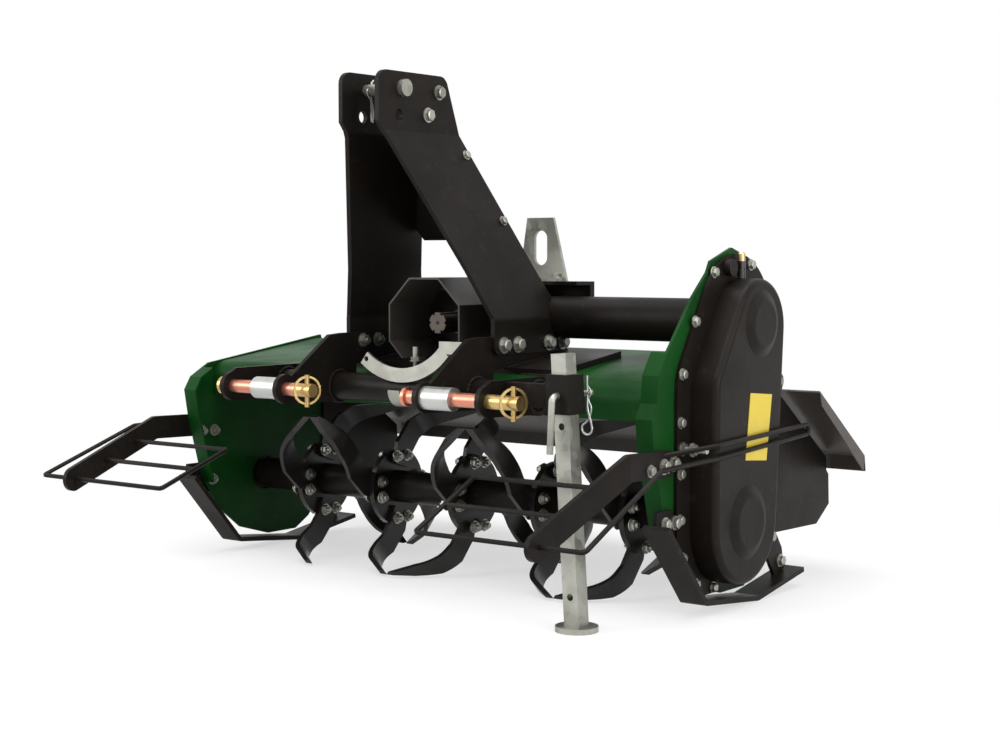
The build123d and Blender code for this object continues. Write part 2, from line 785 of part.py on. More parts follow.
def arm_point(s, slope):
    """Point (y, z) at a distance s down the guard arm from its knee."""
    a = radians(slope)
    return (ARM_KNEE[0] - s * cos(a), ARM_KNEE[1] - s * sin(a))


def capsule(start, end, r):
    """Rounded flat bar between two points."""
    return make_hull([disc(*start, r).edge(), disc(*end, r).edge()])


def side_guard(slope):
    """Guard at +X: flat arm, wire frame in front and loop along the side."""
    tip = arm_point(ARM_LENGTH, slope)
    outline = capsule(ARM_ROOT, ARM_KNEE, ARM_R) + capsule(ARM_KNEE, tip, ARM_R)
    plan = bent_sheet(
        [
            (SIDE_FACE, ARM_ROOT[0] + ARM_R),
            (SIDE_FACE, ARM_KNEE[0]),
            (SIDE_FACE - ARM_TOE_IN, tip[0] - ARM_R),
        ],
        GUARD_BEND_R,
        ARM_T,
        Side.LEFT,
    )
    arm = extrude(plan, amount=2 * ARM_KNEE[1]) & yz_prism(outline, 0, 2 * SIDE_FACE)
    near, middle, far = (arm_point(s, slope) for s in GUARD_BARS)
    weld_x = SIDE_FACE + ARM_T / 2
    toe = ARM_TOE_IN / (ARM_KNEE[0] - tip[0] + ARM_R)
    near_x, middle_x = (weld_x - toe * (ARM_KNEE[0] - y) for y, _ in (near, middle))
    frame = bent_wire(
        [
            (near_x, *near),
            (GUARD_IN, *near),
            (GUARD_IN, *far),
            (GUARD_OUT, *far),
            (GUARD_OUT, *ARM_KNEE),
            (GUARD_OUT, LOOP_FRONT_Y, LOOP_LOW_Z[0]),
            (GUARD_OUT, LOOP_REAR_Y, LOOP_LOW_Z[1]),
            (GUARD_OUT, LOOP_REAR_Y, LOOP_HIGH_Z[1]),
            (GUARD_OUT, LOOP_FRONT_Y, LOOP_HIGH_Z[0]),
            (weld_x, *LOOP_WELD),
        ],
        GUARD_BEND_R,
        RegularPolygon(WIRE_R, WIRE_SIDES),
    )
    bar = RegularPolygon(WIRE_R, WIRE_SIDES)
    return arm + frame + yz_prism(Pos(*middle) * bar, GUARD_IN, middle_x)


def stand_place():
    """Placement of the leaning stand leg, origin at its foot."""
    return Pos(STAND_X, STAND_Y, 0) * Rot(0, -STAND_LEAN, 0)


def stand_cross_hole(z):
    """Pin hole along Y through the stand leg at a height."""
    x = (stand_place() * Pos(0, 0, z)).position.X
    reach = 2 * STAND_SIDE
    return rod((x, STAND_Y - reach, z), (x, STAND_Y + reach, z), STAND_PIN_R + SLIP)


def square(side):
    """A square outline."""
    return Rectangle(side, side)


def stand_leg():
    """Square tube leg with a round foot plate."""
    tube = extrude(square(STAND_SIDE) - square(STAND_SIDE - 2 * STAND_WALL), amount=STAND_TOP)
    leg = stand_place() * tube
    for z in STAND_HOLES:
        leg -= stand_cross_hole(z)
    leg -= block(0, FAR, -FAR, 0, -FAR, FOOT_T / 2)
    foot = Pos(STAND_X, STAND_Y, 0) * Cylinder(
        FOOT_R, FOOT_T, align=(Align.CENTER, Align.CENTER, Align.MIN)
    )
    return leg + foot


def stand_carrier():
    """Square collar for the stand leg on an arm from the outer hitch plate."""
    bore = square(STAND_SIDE + 2 * SLIP)
    outer = square(STAND_SIDE + 2 * SLIP + 2 * COLLAR_WALL)
    long_collar = stand_place() * extrude(outer, amount=2 * COLLAR_TOP_Z)
    collar = long_collar & block(0, FAR, -FAR, 0, COLLAR_LOW_Z, COLLAR_TOP_Z)
    arm = block(HITCH_X + OUTER_IN + HITCH_T, CARRIER_END_X, *CARRIER_Y, *CARRIER_Z)
    void = stand_place() * extrude(bore, amount=2 * COLLAR_TOP_Z)
    return collar + arm - void - stand_cross_hole(STAND_HOLES[-1])


def stand_pin():
    """Bent locking pin through the collar and the leg."""
    z = STAND_HOLES[-1]
    x = (stand_place() * Pos(0, 0, z)).position.X
    front_y = STAND_Y - STAND_PIN_FRONT
    corners = [
        (x, STAND_Y + STAND_PIN_REAR, z),
        (x, front_y, z),
        (x - STAND_PIN_LEAN, front_y, z - STAND_PIN_DROP),
    ]
    return bent_wire(corners, STAND_PIN_BEND_R, RegularPolygon(STAND_PIN_R, STAND_PIN_SIDES))


def shaft_cradle():
    """Crescent rest for the driveline in front of the cross tube."""
    strip = trace(ThreePointArc(*CRADLE_ARC), line_width=CRADLE_W)
    tab_x, tab_z = CRADLE_TAB
    tab = Pos(tab_x, tab_z) * Rectangle(2 * (HITCH_X + INNER_IN - tab_x), CRADLE_TAB_W)
    return xz_prism(strip + tab - disc(*CRADLE_HOLE), CRADLE_Y - CRADLE_T, CRADLE_Y)


def cradle_clamp():
    """Half-round strap under the cross tube with a stud behind it."""
    r0, r1 = TUBE_R + SLIP, TUBE_R + CLAMP_T
    ring = disc(TUBE_Y, TUBE_Z, r1) - disc(TUBE_Y, TUBE_Z, r0)
    half = ring & (Pos(TUBE_Y, TUBE_Z - r1) * Rectangle(4 * r1, 2 * r1))
    strap = yz_prism(half, HITCH_X - CLAMP_W / 2, HITCH_X + CLAMP_W / 2)
    y = TUBE_Y + r1
    return strap + rod((HITCH_X, y, TUBE_Z - STUD_R), (HITCH_X, y, STUD_TOP_Z), STUD_R)


def rotor_shaft():
    """Rotor tube with its two journals."""
    y, z = ROTOR_Y, ROTOR_Z
    end = SIDE_FACE + JOURNAL_IN - JOURNAL_END_GAP
    tube = x_rod(y, z, ROTOR_TUBE_R, -ROTOR_TUBE_HALF, ROTOR_TUBE_HALF)
    return tube + x_rod(y, z, JOURNAL_R, -end, end)


def tine_outline():
    """Sabre outline of a blade whose tip points straight down."""
    centres = []
    for r, lead, width in TINE_STATIONS:
        a = radians(lead)
        centres.append((r * sin(a), -r * cos(a), width / 2))
    near, far = [], []
    for index, (y, z, half) in enumerate(centres):
        y0, z0, _ = centres[max(index - 1, 0)]
        y1, z1, _ = centres[min(index + 1, len(centres) - 1)]
        length = hypot(y1 - y0, z1 - z0)
        ny, nz = (z1 - z0) / length * half, -(y1 - y0) / length * half
        near.append((y + ny, z + nz))
        far.append((y - ny, z - nz))
    return yz_polygon(near + far[::-1])


def tine():
    """One blade on the +X face of its flange, tip down, its end bent to +X."""
    inner = FLANGE_T / 2
    section = bent_sheet(
        [(inner, -20.0), (inner, -TINE_BEND_Z), (inner + TINE_REACH, -TINE_TIP_R - TINE_T)],
        TINE_BEND_R,
        TINE_T,
        Side.LEFT,
    )
    return xz_prism(section, -FAR, FAR) & yz_prism(tine_outline(), 0, FAR)


def tine_set(x, sides):
    """Flange disc on the rotor tube with its curved tines."""
    shape = yz_prism(disc(0, 0, FLANGE_R), -FLANGE_T / 2, FLANGE_T / 2)
    blades = {1: tine(), -1: mirrored(tine())}
    for number, side in enumerate(sides):
        turn = number * 360 / TINES_PER_FLANGE - TINE_TIP_LAG
        shape += Rot(turn, 0, 0) * blades[side]
    shape -= x_rod(0, 0, ROTOR_TUBE_R, -FLANGE_T * 3, FLANGE_T * 3)
    return Pos(x, ROTOR_Y, ROTOR_Z) * shape


def board_direction():
    """Direction of the rear board's sheet away from the hinge."""
    dy, dz = BOARD_END[0] - HINGE_Y, BOARD_END[1] - HINGE_Z
    return dy / hypot(dy, dz), dz / hypot(dy, dz)


def tailboard():
    """Folded rear board with side lips, rear lip and hinge barrels."""
    uy, uz = board_direction()
    start = (HINGE_Y + uy * BOARD_START, HINGE_Z + uz * BOARD_START)
    section = bent_sheet([start, BOARD_END, BOARD_LIP_END], 5.0, BOARD_T, Side.RIGHT)
    board = yz_prism(section, -BOARD_HALF, BOARD_HALF)
    lip = yz_polygon(
        [
            start,
            (BOARD_END[0] - 4, BOARD_END[1] + 2),
            (BOARD_END[0] - 2, BOARD_END[1] - BOARD_SIDE_LIP),
            (start[0] + 8, start[1] - BOARD_SIDE_LIP),
        ]
    )
    board += yz_prism(lip, BOARD_HALF - BOARD_T, BOARD_HALF)
    board += yz_prism(lip, -BOARD_HALF, BOARD_T - BOARD_HALF)
    reach = BOARD_START + 10
    tongue = yz_polygon(
        [
            (HINGE_Y, HINGE_Z),
            (HINGE_Y + uy * reach, HINGE_Z + uz * reach),
            (HINGE_Y + uy * reach + uz * BOARD_T, HINGE_Z + uz * reach - uy * BOARD_T),
            (HINGE_Y + uz * BOARD_T, HINGE_Z - uy * BOARD_T),
        ]
    )
    knuckle = disc(HINGE_Y, HINGE_Z, BARREL_R) + tongue
    knuckle -= disc(HINGE_Y, HINGE_Z, HINGE_R + RUNNING_GAP)
    for x in BARRELS_X:
        board += yz_prism(knuckle, x - BARREL_LENGTH / 2, x + BARREL_LENGTH / 2)
    return board


def side_wing():
    """Side shield behind a side plate, under the rear board."""
    inner = SIDE_FACE - SIDE_T
    return yz_prism(yz_polygon(WING_OUTLINE), inner - WING_T, inner)


def pieces():
    """Every piece by node name."""
    inner_left, inner_right = HITCH_X - INNER_IN - HITCH_T, HITCH_X + INNER_IN
    outer_left, outer_right = HITCH_X - OUTER_IN - HITCH_T, HITCH_X + OUTER_IN
    found = {
        "hood": hood(),
        "side_plate_left": mirrored(side_plate(SIDE_TOP_LEFT)),
        "side_plate_right": side_plate(SIDE_TOP_RIGHT),
        "base_plate": base_plate(),
        "cross_tube": cross_tube(),
        "hitch_plate_inner_left": hitch_inner(inner_left),
        "hitch_plate_inner_right": hitch_inner(inner_right),
        "hitch_plate_outer_left": hitch_outer(outer_left),
        "hitch_plate_outer_right": hitch_outer(outer_right),
        "link_pin_left": link_pin(PIN_LEFT),
        "link_pin_right": link_pin(PIN_RIGHT),
        "lynch_pin_left": lynch_pin(PIN_LEFT),
        "lynch_pin_right": lynch_pin(PIN_RIGHT),
        "link_sleeve_left": link_sleeve(inner_left - SLEEVE_LENGTH),
        "link_sleeve_right": link_sleeve(inner_right + HITCH_T),
        "mast_plate_left": Pos(HITCH_X, 0, 0) * mirrored(mast_plate()),
        "mast_plate_right": mast_right(),
        "mast_brace": mast_brace(),
        "top_link_pin": top_link_pin(),
        "gearbox": gearbox(),
        "pto_shroud": pto_shroud(),
        "pto_shaft": pto_shaft(),
        "drive_tube": drive_tube(),
        "gearbox_bracket": gearbox_bracket(),
        "slotted_lug": slotted_lug(),
        "chain_case": chain_case(),
        "chain_cover": chain_cover(),
        "case_cap": case_cap(),
        "case_breather": case_breather(),
        "bearing_housing": bearing_housing(),
        "skid_left": mirrored(skid(SKID_IN_LEFT)),
        "skid_right": skid(SKID_IN_RIGHT),
        "side_guard_left": mirrored(side_guard(GUARD_SLOPE_LEFT)),
        "side_guard_right": side_guard(GUARD_SLOPE_RIGHT),
        "shaft_cradle": shaft_cradle(),
        "cradle_clamp": cradle_clamp(),
        "stand_carrier": stand_carrier(),
        "stand_leg": stand_leg(),
        "stand_pin": stand_pin(),
        "rotor_shaft": rotor_shaft(),
        "tailboard": tailboard(),
        "hinge_rod": x_rod(HINGE_Y, HINGE_Z, HINGE_R, -SIDE_FACE - 4, SIDE_FACE + 4),
        "side_wing_left": mirrored(side_wing()),
        "side_wing_right": side_wing(),
    }
    for number, (x, sides) in enumerate(zip(FLANGES_X, TINE_SIDES), start=1):
        found[f"tine_set_{number}"] = tine_set(x, sides)
    return found


for name, piece in pieces().items():
    export_step(piece, f"parts/{name}.step")
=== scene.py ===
import json
import logging
import math
from collections.abc import Sequence
from dataclasses import dataclass
from enum import Enum

import bpy
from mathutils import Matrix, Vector


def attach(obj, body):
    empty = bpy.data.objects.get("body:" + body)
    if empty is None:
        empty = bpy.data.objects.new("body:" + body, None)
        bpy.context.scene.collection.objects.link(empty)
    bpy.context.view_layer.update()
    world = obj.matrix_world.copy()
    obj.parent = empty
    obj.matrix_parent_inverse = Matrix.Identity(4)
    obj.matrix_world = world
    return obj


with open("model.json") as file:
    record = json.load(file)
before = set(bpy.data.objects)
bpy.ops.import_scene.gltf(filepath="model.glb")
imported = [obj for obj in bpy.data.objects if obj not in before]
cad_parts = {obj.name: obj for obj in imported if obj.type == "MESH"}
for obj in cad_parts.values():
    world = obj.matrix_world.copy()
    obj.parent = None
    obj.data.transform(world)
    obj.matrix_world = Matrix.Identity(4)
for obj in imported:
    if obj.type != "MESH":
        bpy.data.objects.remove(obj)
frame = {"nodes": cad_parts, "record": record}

MM = 0.001
HITCH_X = 8.0
WIRE_ROUNDNESS = 4
WIRE_STEPS = 6
log = logging.getLogger("tiller")

Corner = tuple[float, float, float]
Colour = tuple[float, float, float]
Place = tuple[float, float]
Tree = bpy.types.NodeTree
Node = bpy.types.Node
Socket = bpy.types.NodeSocket


class Body(Enum):
    """CAD bodies that the dressed pieces ride on."""

    FRAME = "frame"
    ROTOR = "rotor"
    PTO = "pto"


class Slot(Enum):
    """Material slots of the record."""

    GREEN = "green_paint"
    BLACK = "black_paint"
    TINE = "tine_black"
    BOARD = "board_paint"
    SHROUD = "shroud_paint"
    ZINC = "zinc"
    GOLD = "gold_zinc"
    SLEEVE = "silver_sleeve"
    BARE = "bare_steel"
    BRASS = "brass"


@dataclass(frozen=True)
class PaintFinish:
    """A coat of paint.

    Attributes:
        colour: the clean coat; for the shroud it also holds painted reflection.
        shade: its darker patches.
        roughness: of the clean coat.
        specular: level of its mirror reflection.
        peel: strength of its fine waviness.
        dust: share of dust in its specks.
    """

    colour: Colour
    shade: Colour
    roughness: float
    specular: float
    peel: float
    dust: float


@dataclass(frozen=True)
class MetalFinish:
    """A bare or plated metal.

    Attributes:
        light: the clean metal.
        dark: its stains.
        roughness: of the brightest crystals.
        spread: how much rougher the dullest crystals are.
        grain: scale of the crystals, larger for finer ones.
        painted_below: height in mm below which it is painted black, 0 for none.
        worn_band: distances from X = 0 in mm between which it is worn, 0 for none.
    """

    light: Colour
    dark: Colour
    roughness: float
    spread: float
    grain: float
    painted_below: float = 0.0
    worn_band: Place = (0.0, 0.0)


PAINTS: dict[Slot, PaintFinish] = {
    Slot.GREEN: PaintFinish((0.0040, 0.048, 0.0065), (0.0028, 0.030, 0.0045), 0.38, 0.08, 0.05, 0.04),
    Slot.BLACK: PaintFinish((0.0100, 0.0076, 0.0060), (0.0054, 0.0042, 0.0034), 0.38, 0.11, 0.06, 0.05),
    Slot.TINE: PaintFinish((0.0135, 0.0108, 0.0096), (0.0060, 0.0050, 0.0045), 0.30, 0.30, 0.10, 0.08),
    Slot.BOARD: PaintFinish((0.046, 0.037, 0.030), (0.032, 0.026, 0.021), 0.32, 0.42, 0.05, 0.08),
    # The shroud's tones are partly its own dark paint and partly painted reflection, lifted well above the
    # black paint for the light on its facets.
    Slot.SHROUD: PaintFinish((0.055, 0.048, 0.042), (0.034, 0.029, 0.025), 0.26, 0.34, 0.03, 0.04),
}

WORN_COPPER = (0.62, 0.25, 0.17)
DUST = (0.16, 0.14, 0.12)
LABEL_TONES = ((0.60, 0.45, 0.03), (0.48, 0.35, 0.03))

METALS: dict[Slot, MetalFinish] = {
    Slot.ZINC: MetalFinish((0.46, 0.46, 0.41), (0.13, 0.13, 0.11), 0.34, 0.18, 60.0),
    Slot.GOLD: MetalFinish((0.58, 0.43, 0.17), (0.46, 0.27, 0.11), 0.26, 0.14, 90.0, 0.0, (110.0, 272.0)),
    Slot.SLEEVE: MetalFinish((0.53, 0.54, 0.51), (0.40, 0.42, 0.40), 0.32, 0.10, 70.0),
    Slot.BARE: MetalFinish((0.12, 0.105, 0.085), (0.06, 0.05, 0.045), 0.40, 0.14, 120.0),
    Slot.BRASS: MetalFinish((0.62, 0.50, 0.27), (0.40, 0.31, 0.16), 0.24, 0.12, 80.0, 540.0),
}


def add_math(tree: Tree, operation: str, *values: Socket | float) -> Socket:
    """Adds a Math node.

    Args:
        tree: the shader or geometry tree.
        operation: what the node does.
        values: for each input in turn, a socket to link or a number to set.

    Returns:
        The result socket.
    """
    node = tree.nodes.new("ShaderNodeMath")
    node.operation = operation
    for socket, value in zip(node.inputs, values):
        if isinstance(value, float):
            socket.default_value = value
        else:
            tree.links.new(value, socket)
    return node.outputs[0]


class ShaderKit:
    """Shared shader node groups and the materials made from them."""

    PATCH_ROUGHNESS = 0.14
    STAIN_SPAN = (-0.4, 1.3)
    CRYSTAL_SHARE = 0.45
    METALLIC = 0.9
    LABEL_ROUGHNESS = 0.35

    def __init__(self) -> None:
        self.peel = self._peel_group()
        self.mottle = self._mottle_group()
        self.spangle = self._spangle_group()
        self.made: dict[Slot, bpy.types.Material] = {}

    @staticmethod
    def _new_group(
        name: str, inputs: dict[str, float], outputs: dict[str, str]
    ) -> tuple[Tree, Node, Node]:
        """Makes an empty shader group.

        Args:
            name: the group's name.
            inputs: float inputs and their defaults.
            outputs: output names and socket types.

        Returns:
            The group with its input and output nodes.
        """
        group = bpy.data.node_groups.new(name, "ShaderNodeTree")
        for key, default in inputs.items():
            socket = group.interface.new_socket(key, in_out="INPUT", socket_type="NodeSocketFloat")
            socket.default_value = default
        for key, kind in outputs.items():
            group.interface.new_socket(key, in_out="OUTPUT", socket_type=kind)
        return group, group.nodes.new("NodeGroupInput"), group.nodes.new("NodeGroupOutput")

    def _peel_group(self) -> Tree:
        """Makes the fine waviness of a sprayed coat, as a normal.

        Returns:
            The shader group.
        """
        group, inlet, outlet = self._new_group(
            "SprayedCoat", {"Scale": 90.0, "Depth": 0.05}, {"Normal": "NodeSocketVector"}
        )
        nodes, links = group.nodes, group.links
        place = nodes.new("ShaderNodeTexCoord")
        noise = nodes.new("ShaderNodeTexNoise")
        noise.inputs["Detail"].default_value = 3.0
        bump = nodes.new("ShaderNodeBump")
        bump.inputs["Distance"].default_value = 0.001
        links.new(place.outputs["Object"], noise.inputs["Vector"])
        links.new(inlet.outputs["Scale"], noise.inputs["Scale"])
        links.new(noise.outputs["Fac"], bump.inputs["Height"])
        links.new(inlet.outputs["Depth"], bump.inputs["Strength"])
        links.new(bump.outputs["Normal"], outlet.inputs["Normal"])
        return group

    def _mottle_group(self) -> Tree:
        """Makes broad and fine patches of dust and handling, as masks.

        Returns:
            The shader group.
        """
        group, inlet, outlet = self._new_group(
            "Mottle",
            {"Broad": 5.0, "Fine": 60.0},
            {"Patch": "NodeSocketFloat", "Speck": "NodeSocketFloat"},
        )
        nodes, links = group.nodes, group.links
        place = nodes.new("ShaderNodeTexCoord")
        for source, low, high, outlet_name in (
            ("Broad", 0.42, 0.66, "Patch"),
            ("Fine", 0.58, 0.72, "Speck"),
        ):
            noise = nodes.new("ShaderNodeTexNoise")
            noise.inputs["Detail"].default_value = 6.0
            noise.inputs["Roughness"].default_value = 0.6
            ramp = nodes.new("ShaderNodeMapRange")
            ramp.inputs["From Min"].default_value = low
            ramp.inputs["From Max"].default_value = high
            links.new(place.outputs["Object"], noise.inputs["Vector"])
            links.new(inlet.outputs[source], noise.inputs["Scale"])
            links.new(noise.outputs["Fac"], ramp.inputs["Value"])
            links.new(ramp.outputs["Result"], outlet.inputs[outlet_name])
        return group

    def _spangle_group(self) -> Tree:
        """Makes the crystals of a hot zinc or plated surface, as masks and a normal.

        Returns:
            The shader group.
        """
        group, inlet, outlet = self._new_group(
            "Spangle",
            {"Scale": 60.0},
            {"Crystal": "NodeSocketFloat", "Stain": "NodeSocketFloat", "Normal": "NodeSocketVector"},
        )
        nodes, links = group.nodes, group.links
        place = nodes.new("ShaderNodeTexCoord")
        cells = nodes.new("ShaderNodeTexVoronoi")
        stain = nodes.new("ShaderNodeTexNoise")
        stain.inputs["Scale"].default_value = 14.0
        stain.inputs["Detail"].default_value = 5.0
        split = nodes.new("ShaderNodeSeparateColor")
        bump = nodes.new("ShaderNodeBump")
        bump.inputs["Strength"].default_value = 0.06
        bump.inputs["Distance"].default_value = 0.001
        links.new(place.outputs["Object"], cells.inputs["Vector"])
        links.new(place.outputs["Object"], stain.inputs["Vector"])
        links.new(inlet.outputs["Scale"], cells.inputs["Scale"])
        links.new(cells.outputs["Color"], split.inputs["Color"])
        links.new(split.outputs["Red"], outlet.inputs["Crystal"])
        links.new(stain.outputs["Fac"], outlet.inputs["Stain"])
        links.new(stain.outputs["Fac"], bump.inputs["Height"])
        links.new(bump.outputs["Normal"], outlet.inputs["Normal"])
        return group

    @staticmethod
    def _start(name: str) -> tuple[bpy.types.Material, Tree, Node]:
        """Makes a material with an empty tree, a Principled node and the output.

        Args:
            name: the material's name.

        Returns:
            The material, its tree and the Principled node.
        """
        material = bpy.data.materials.new(name)
        material.use_nodes = True
        tree = material.node_tree
        tree.nodes.clear()
        surface = tree.nodes.new("ShaderNodeBsdfPrincipled")
        result = tree.nodes.new("ShaderNodeOutputMaterial")
        tree.links.new(surface.outputs["BSDF"], result.inputs["Surface"])
        return material, tree, surface

    @staticmethod
    def _use(tree: Tree, group: Tree) -> Node:
        """Puts a shared group into a material's tree.

        Args:
            tree: the material's tree.
            group: the shared group.

        Returns:
            The group's node.
        """
        node = tree.nodes.new("ShaderNodeGroup")
        node.node_tree = group
        return node

    @staticmethod
    def _mix(tree: Tree, low: Colour | Socket, high: Colour | Socket, factor: Socket) -> Socket:
        """Mixes two colours by a mask.

        Args:
            tree: the material's tree.
            low: tone or socket where the mask is 0.
            high: tone or socket where the mask is 1.
            factor: the mask.

        Returns:
            The mixed colour.
        """
        mix = tree.nodes.new("ShaderNodeMix")
        mix.data_type = "RGBA"
        for socket, value in ((mix.inputs[6], low), (mix.inputs[7], high)):
            if isinstance(value, tuple):
                socket.default_value = (*value, 1.0)
            else:
                tree.links.new(value, socket)
        tree.links.new(factor, mix.inputs[0])
        return mix.outputs[2]

    @staticmethod
    def _scale(tree: Tree, value: Socket, low: float, high: float) -> Socket:
        """Maps a mask to a range.

        Args:
            tree: the material's tree.
            value: the mask.
            low: what 0 becomes.
            high: what 1 becomes.

        Returns:
            The result socket.
        """
        node = tree.nodes.new("ShaderNodeMapRange")
        node.inputs["To Min"].default_value = low
        node.inputs["To Max"].default_value = high
        tree.links.new(value, node.inputs["Value"])
        return node.outputs["Result"]

    @staticmethod
    def _place(tree: Tree, axis: str) -> Socket:
        """Reads one of the object's coordinates.

        Args:
            tree: the material's tree.
            axis: X, Y or Z.

        Returns:
            The coordinate in metres.
        """
        place = tree.nodes.new("ShaderNodeTexCoord")
        split = tree.nodes.new("ShaderNodeSeparateXYZ")
        tree.links.new(place.outputs["Object"], split.inputs[0])
        return split.outputs[axis]

    def _band(self, tree: Tree, inner: float, outer: float) -> Socket:
        """Masks what lies between two distances from X = 0.

        Args:
            tree: the material's tree.
            inner: the smaller distance in mm.
            outer: the larger distance in mm.

        Returns:
            The mask.
        """
        away = add_math(tree, "ABSOLUTE", self._place(tree, "X"))
        return add_math(tree, "COMPARE", away, 0.5 * (inner + outer) * MM, 0.5 * (outer - inner) * MM)

    def _below(self, tree: Tree, height: float) -> Socket:
        """Masks what lies below a height.

        Args:
            tree: the material's tree.
            height: the height in mm.

        Returns:
            The mask.
        """
        return add_math(tree, "LESS_THAN", self._place(tree, "Z"), height * MM)

    def paint(self, slot: Slot) -> bpy.types.Material:
        """Painted steel with darker patches, fine waviness and a little dust.

        Args:
            slot: the record's slot, which names the finish.

        Returns:
            The material.
        """
        finish = PAINTS[slot]
        material, tree, surface = self._start(slot.value)
        mottle = self._use(tree, self.mottle)
        peel = self._use(tree, self.peel)
        peel.inputs["Depth"].default_value = finish.peel
        patch, speck = mottle.outputs["Patch"], mottle.outputs["Speck"]
        base = self._mix(tree, finish.colour, finish.shade, patch)
        dusty = self._scale(tree, speck, 0.0, finish.dust)
        colour = self._mix(tree, base, DUST, dusty)
        tree.links.new(colour, surface.inputs["Base Color"])
        rough = self._scale(tree, patch, finish.roughness, finish.roughness + self.PATCH_ROUGHNESS)
        tree.links.new(rough, surface.inputs["Roughness"])
        tree.links.new(peel.outputs["Normal"], surface.inputs["Normal"])
        surface.inputs["Specular IOR Level"].default_value = finish.specular
        return material

    def metal(self, slot: Slot) -> bpy.types.Material:
        """Plated or bare metal with crystals and stains.

        Args:
            slot: the record's slot, which names the finish.

        Returns:
            The material.
        """
        finish = METALS[slot]
        material, tree, surface = self._start(slot.value)
        spangle = self._use(tree, self.spangle)
        spangle.inputs["Scale"].default_value = finish.grain
        crystal, stain = spangle.outputs["Crystal"], spangle.outputs["Stain"]
        stained = self._scale(tree, stain, *self.STAIN_SPAN)
        tone = self._mix(tree, finish.light, finish.dark, stained)
        share = self._scale(tree, crystal, 0.0, self.CRYSTAL_SHARE)
        colour = self._mix(tree, tone, finish.light, share)
        rough = self._scale(tree, crystal, finish.roughness, finish.roughness + finish.spread)
        surface.inputs["Metallic"].default_value = self.METALLIC
        if finish.worn_band[1]:
            band = self._band(tree, *finish.worn_band)
            colour = self._mix(tree, colour, WORN_COPPER, band)
        if finish.painted_below:
            painted = self._below(tree, finish.painted_below)
            colour = self._mix(tree, colour, PAINTS[Slot.BLACK].colour, painted)
            bare = self._scale(tree, painted, self.METALLIC, 0.0)
            tree.links.new(bare, surface.inputs["Metallic"])
        tree.links.new(colour, surface.inputs["Base Color"])
        tree.links.new(rough, surface.inputs["Roughness"])
        tree.links.new(spangle.outputs["Normal"], surface.inputs["Normal"])
        return material

    def get(self, slot: Slot) -> bpy.types.Material:
        """Gives a slot's material, made on first use.

        Args:
            slot: the record's slot.

        Returns:
            The material.
        """
        if slot not in self.made:
            self.made[slot] = self.paint(slot) if slot in PAINTS else self.metal(slot)
        return self.made[slot]

    def label(self) -> bpy.types.Material:
        """Makes printed film in one plain yellow with a faint scuff.

        Returns:
            The material.
        """
        material, tree, surface = self._start("label_film")
        mottle = self._use(tree, self.mottle)
        colour = self._mix(tree, *LABEL_TONES, mottle.outputs["Patch"])
        tree.links.new(colour, surface.inputs["Base Color"])
        surface.inputs["Roughness"].default_value = self.LABEL_ROUGHNESS
        return material


def moved(points: Sequence[Corner], base: Corner) -> list[Corner]:
    """Shifts points that are counted from a base point.

    Args:
        points: the points in mm.
        base: the base point in mm.

    Returns:
        The points in the CAD frame.
    """
    return [tuple(p + b for p, b in zip(point, base)) for point in points]


def mesh_object(name: str, points: list[Corner], faces: list[tuple[int, ...]]) -> bpy.types.Object:
    """A mesh object at the origin from points in metres.

    Args:
        name: the object's name.
        points: vertices.
        faces: faces by vertex index; none gives a point cloud mesh.

    Returns:
        The linked object.
    """
    mesh = bpy.data.meshes.new(name)
    mesh.from_pydata(points, [], faces)
    mesh.update()
    made = bpy.data.objects.new(name, mesh)
    bpy.context.scene.collection.objects.link(made)
    return made


def bake(source: bpy.types.Object, name: str) -> bpy.types.Object:
    """Turns an object's evaluated form into one plain mesh object and drops the source.

    Args:
        source: the object with its modifiers.
        name: the new object's name.

    Returns:
        The plain object.
    """
    graph = bpy.context.evaluated_depsgraph_get()
    mesh = bpy.data.meshes.new_from_object(source.evaluated_get(graph), depsgraph=graph)
    mesh.name = name
    bpy.data.objects.remove(source)
    made = bpy.data.objects.new(name, mesh)
    bpy.context.scene.collection.objects.link(made)
    return made


@dataclass(frozen=True)
class Fastener:
    """A bolt head or nut: seat point and outward direction in mm, and head radius in mm."""

    seat: Corner
    axis: Corner
    radius: float


class Top(Enum):
    """What stands on a hexagon: radius below and above and height, by the head's radius."""

    HEAD = (0.9, 0.66, 0.12)
    NUT = (0.52, 0.5, 0.6)


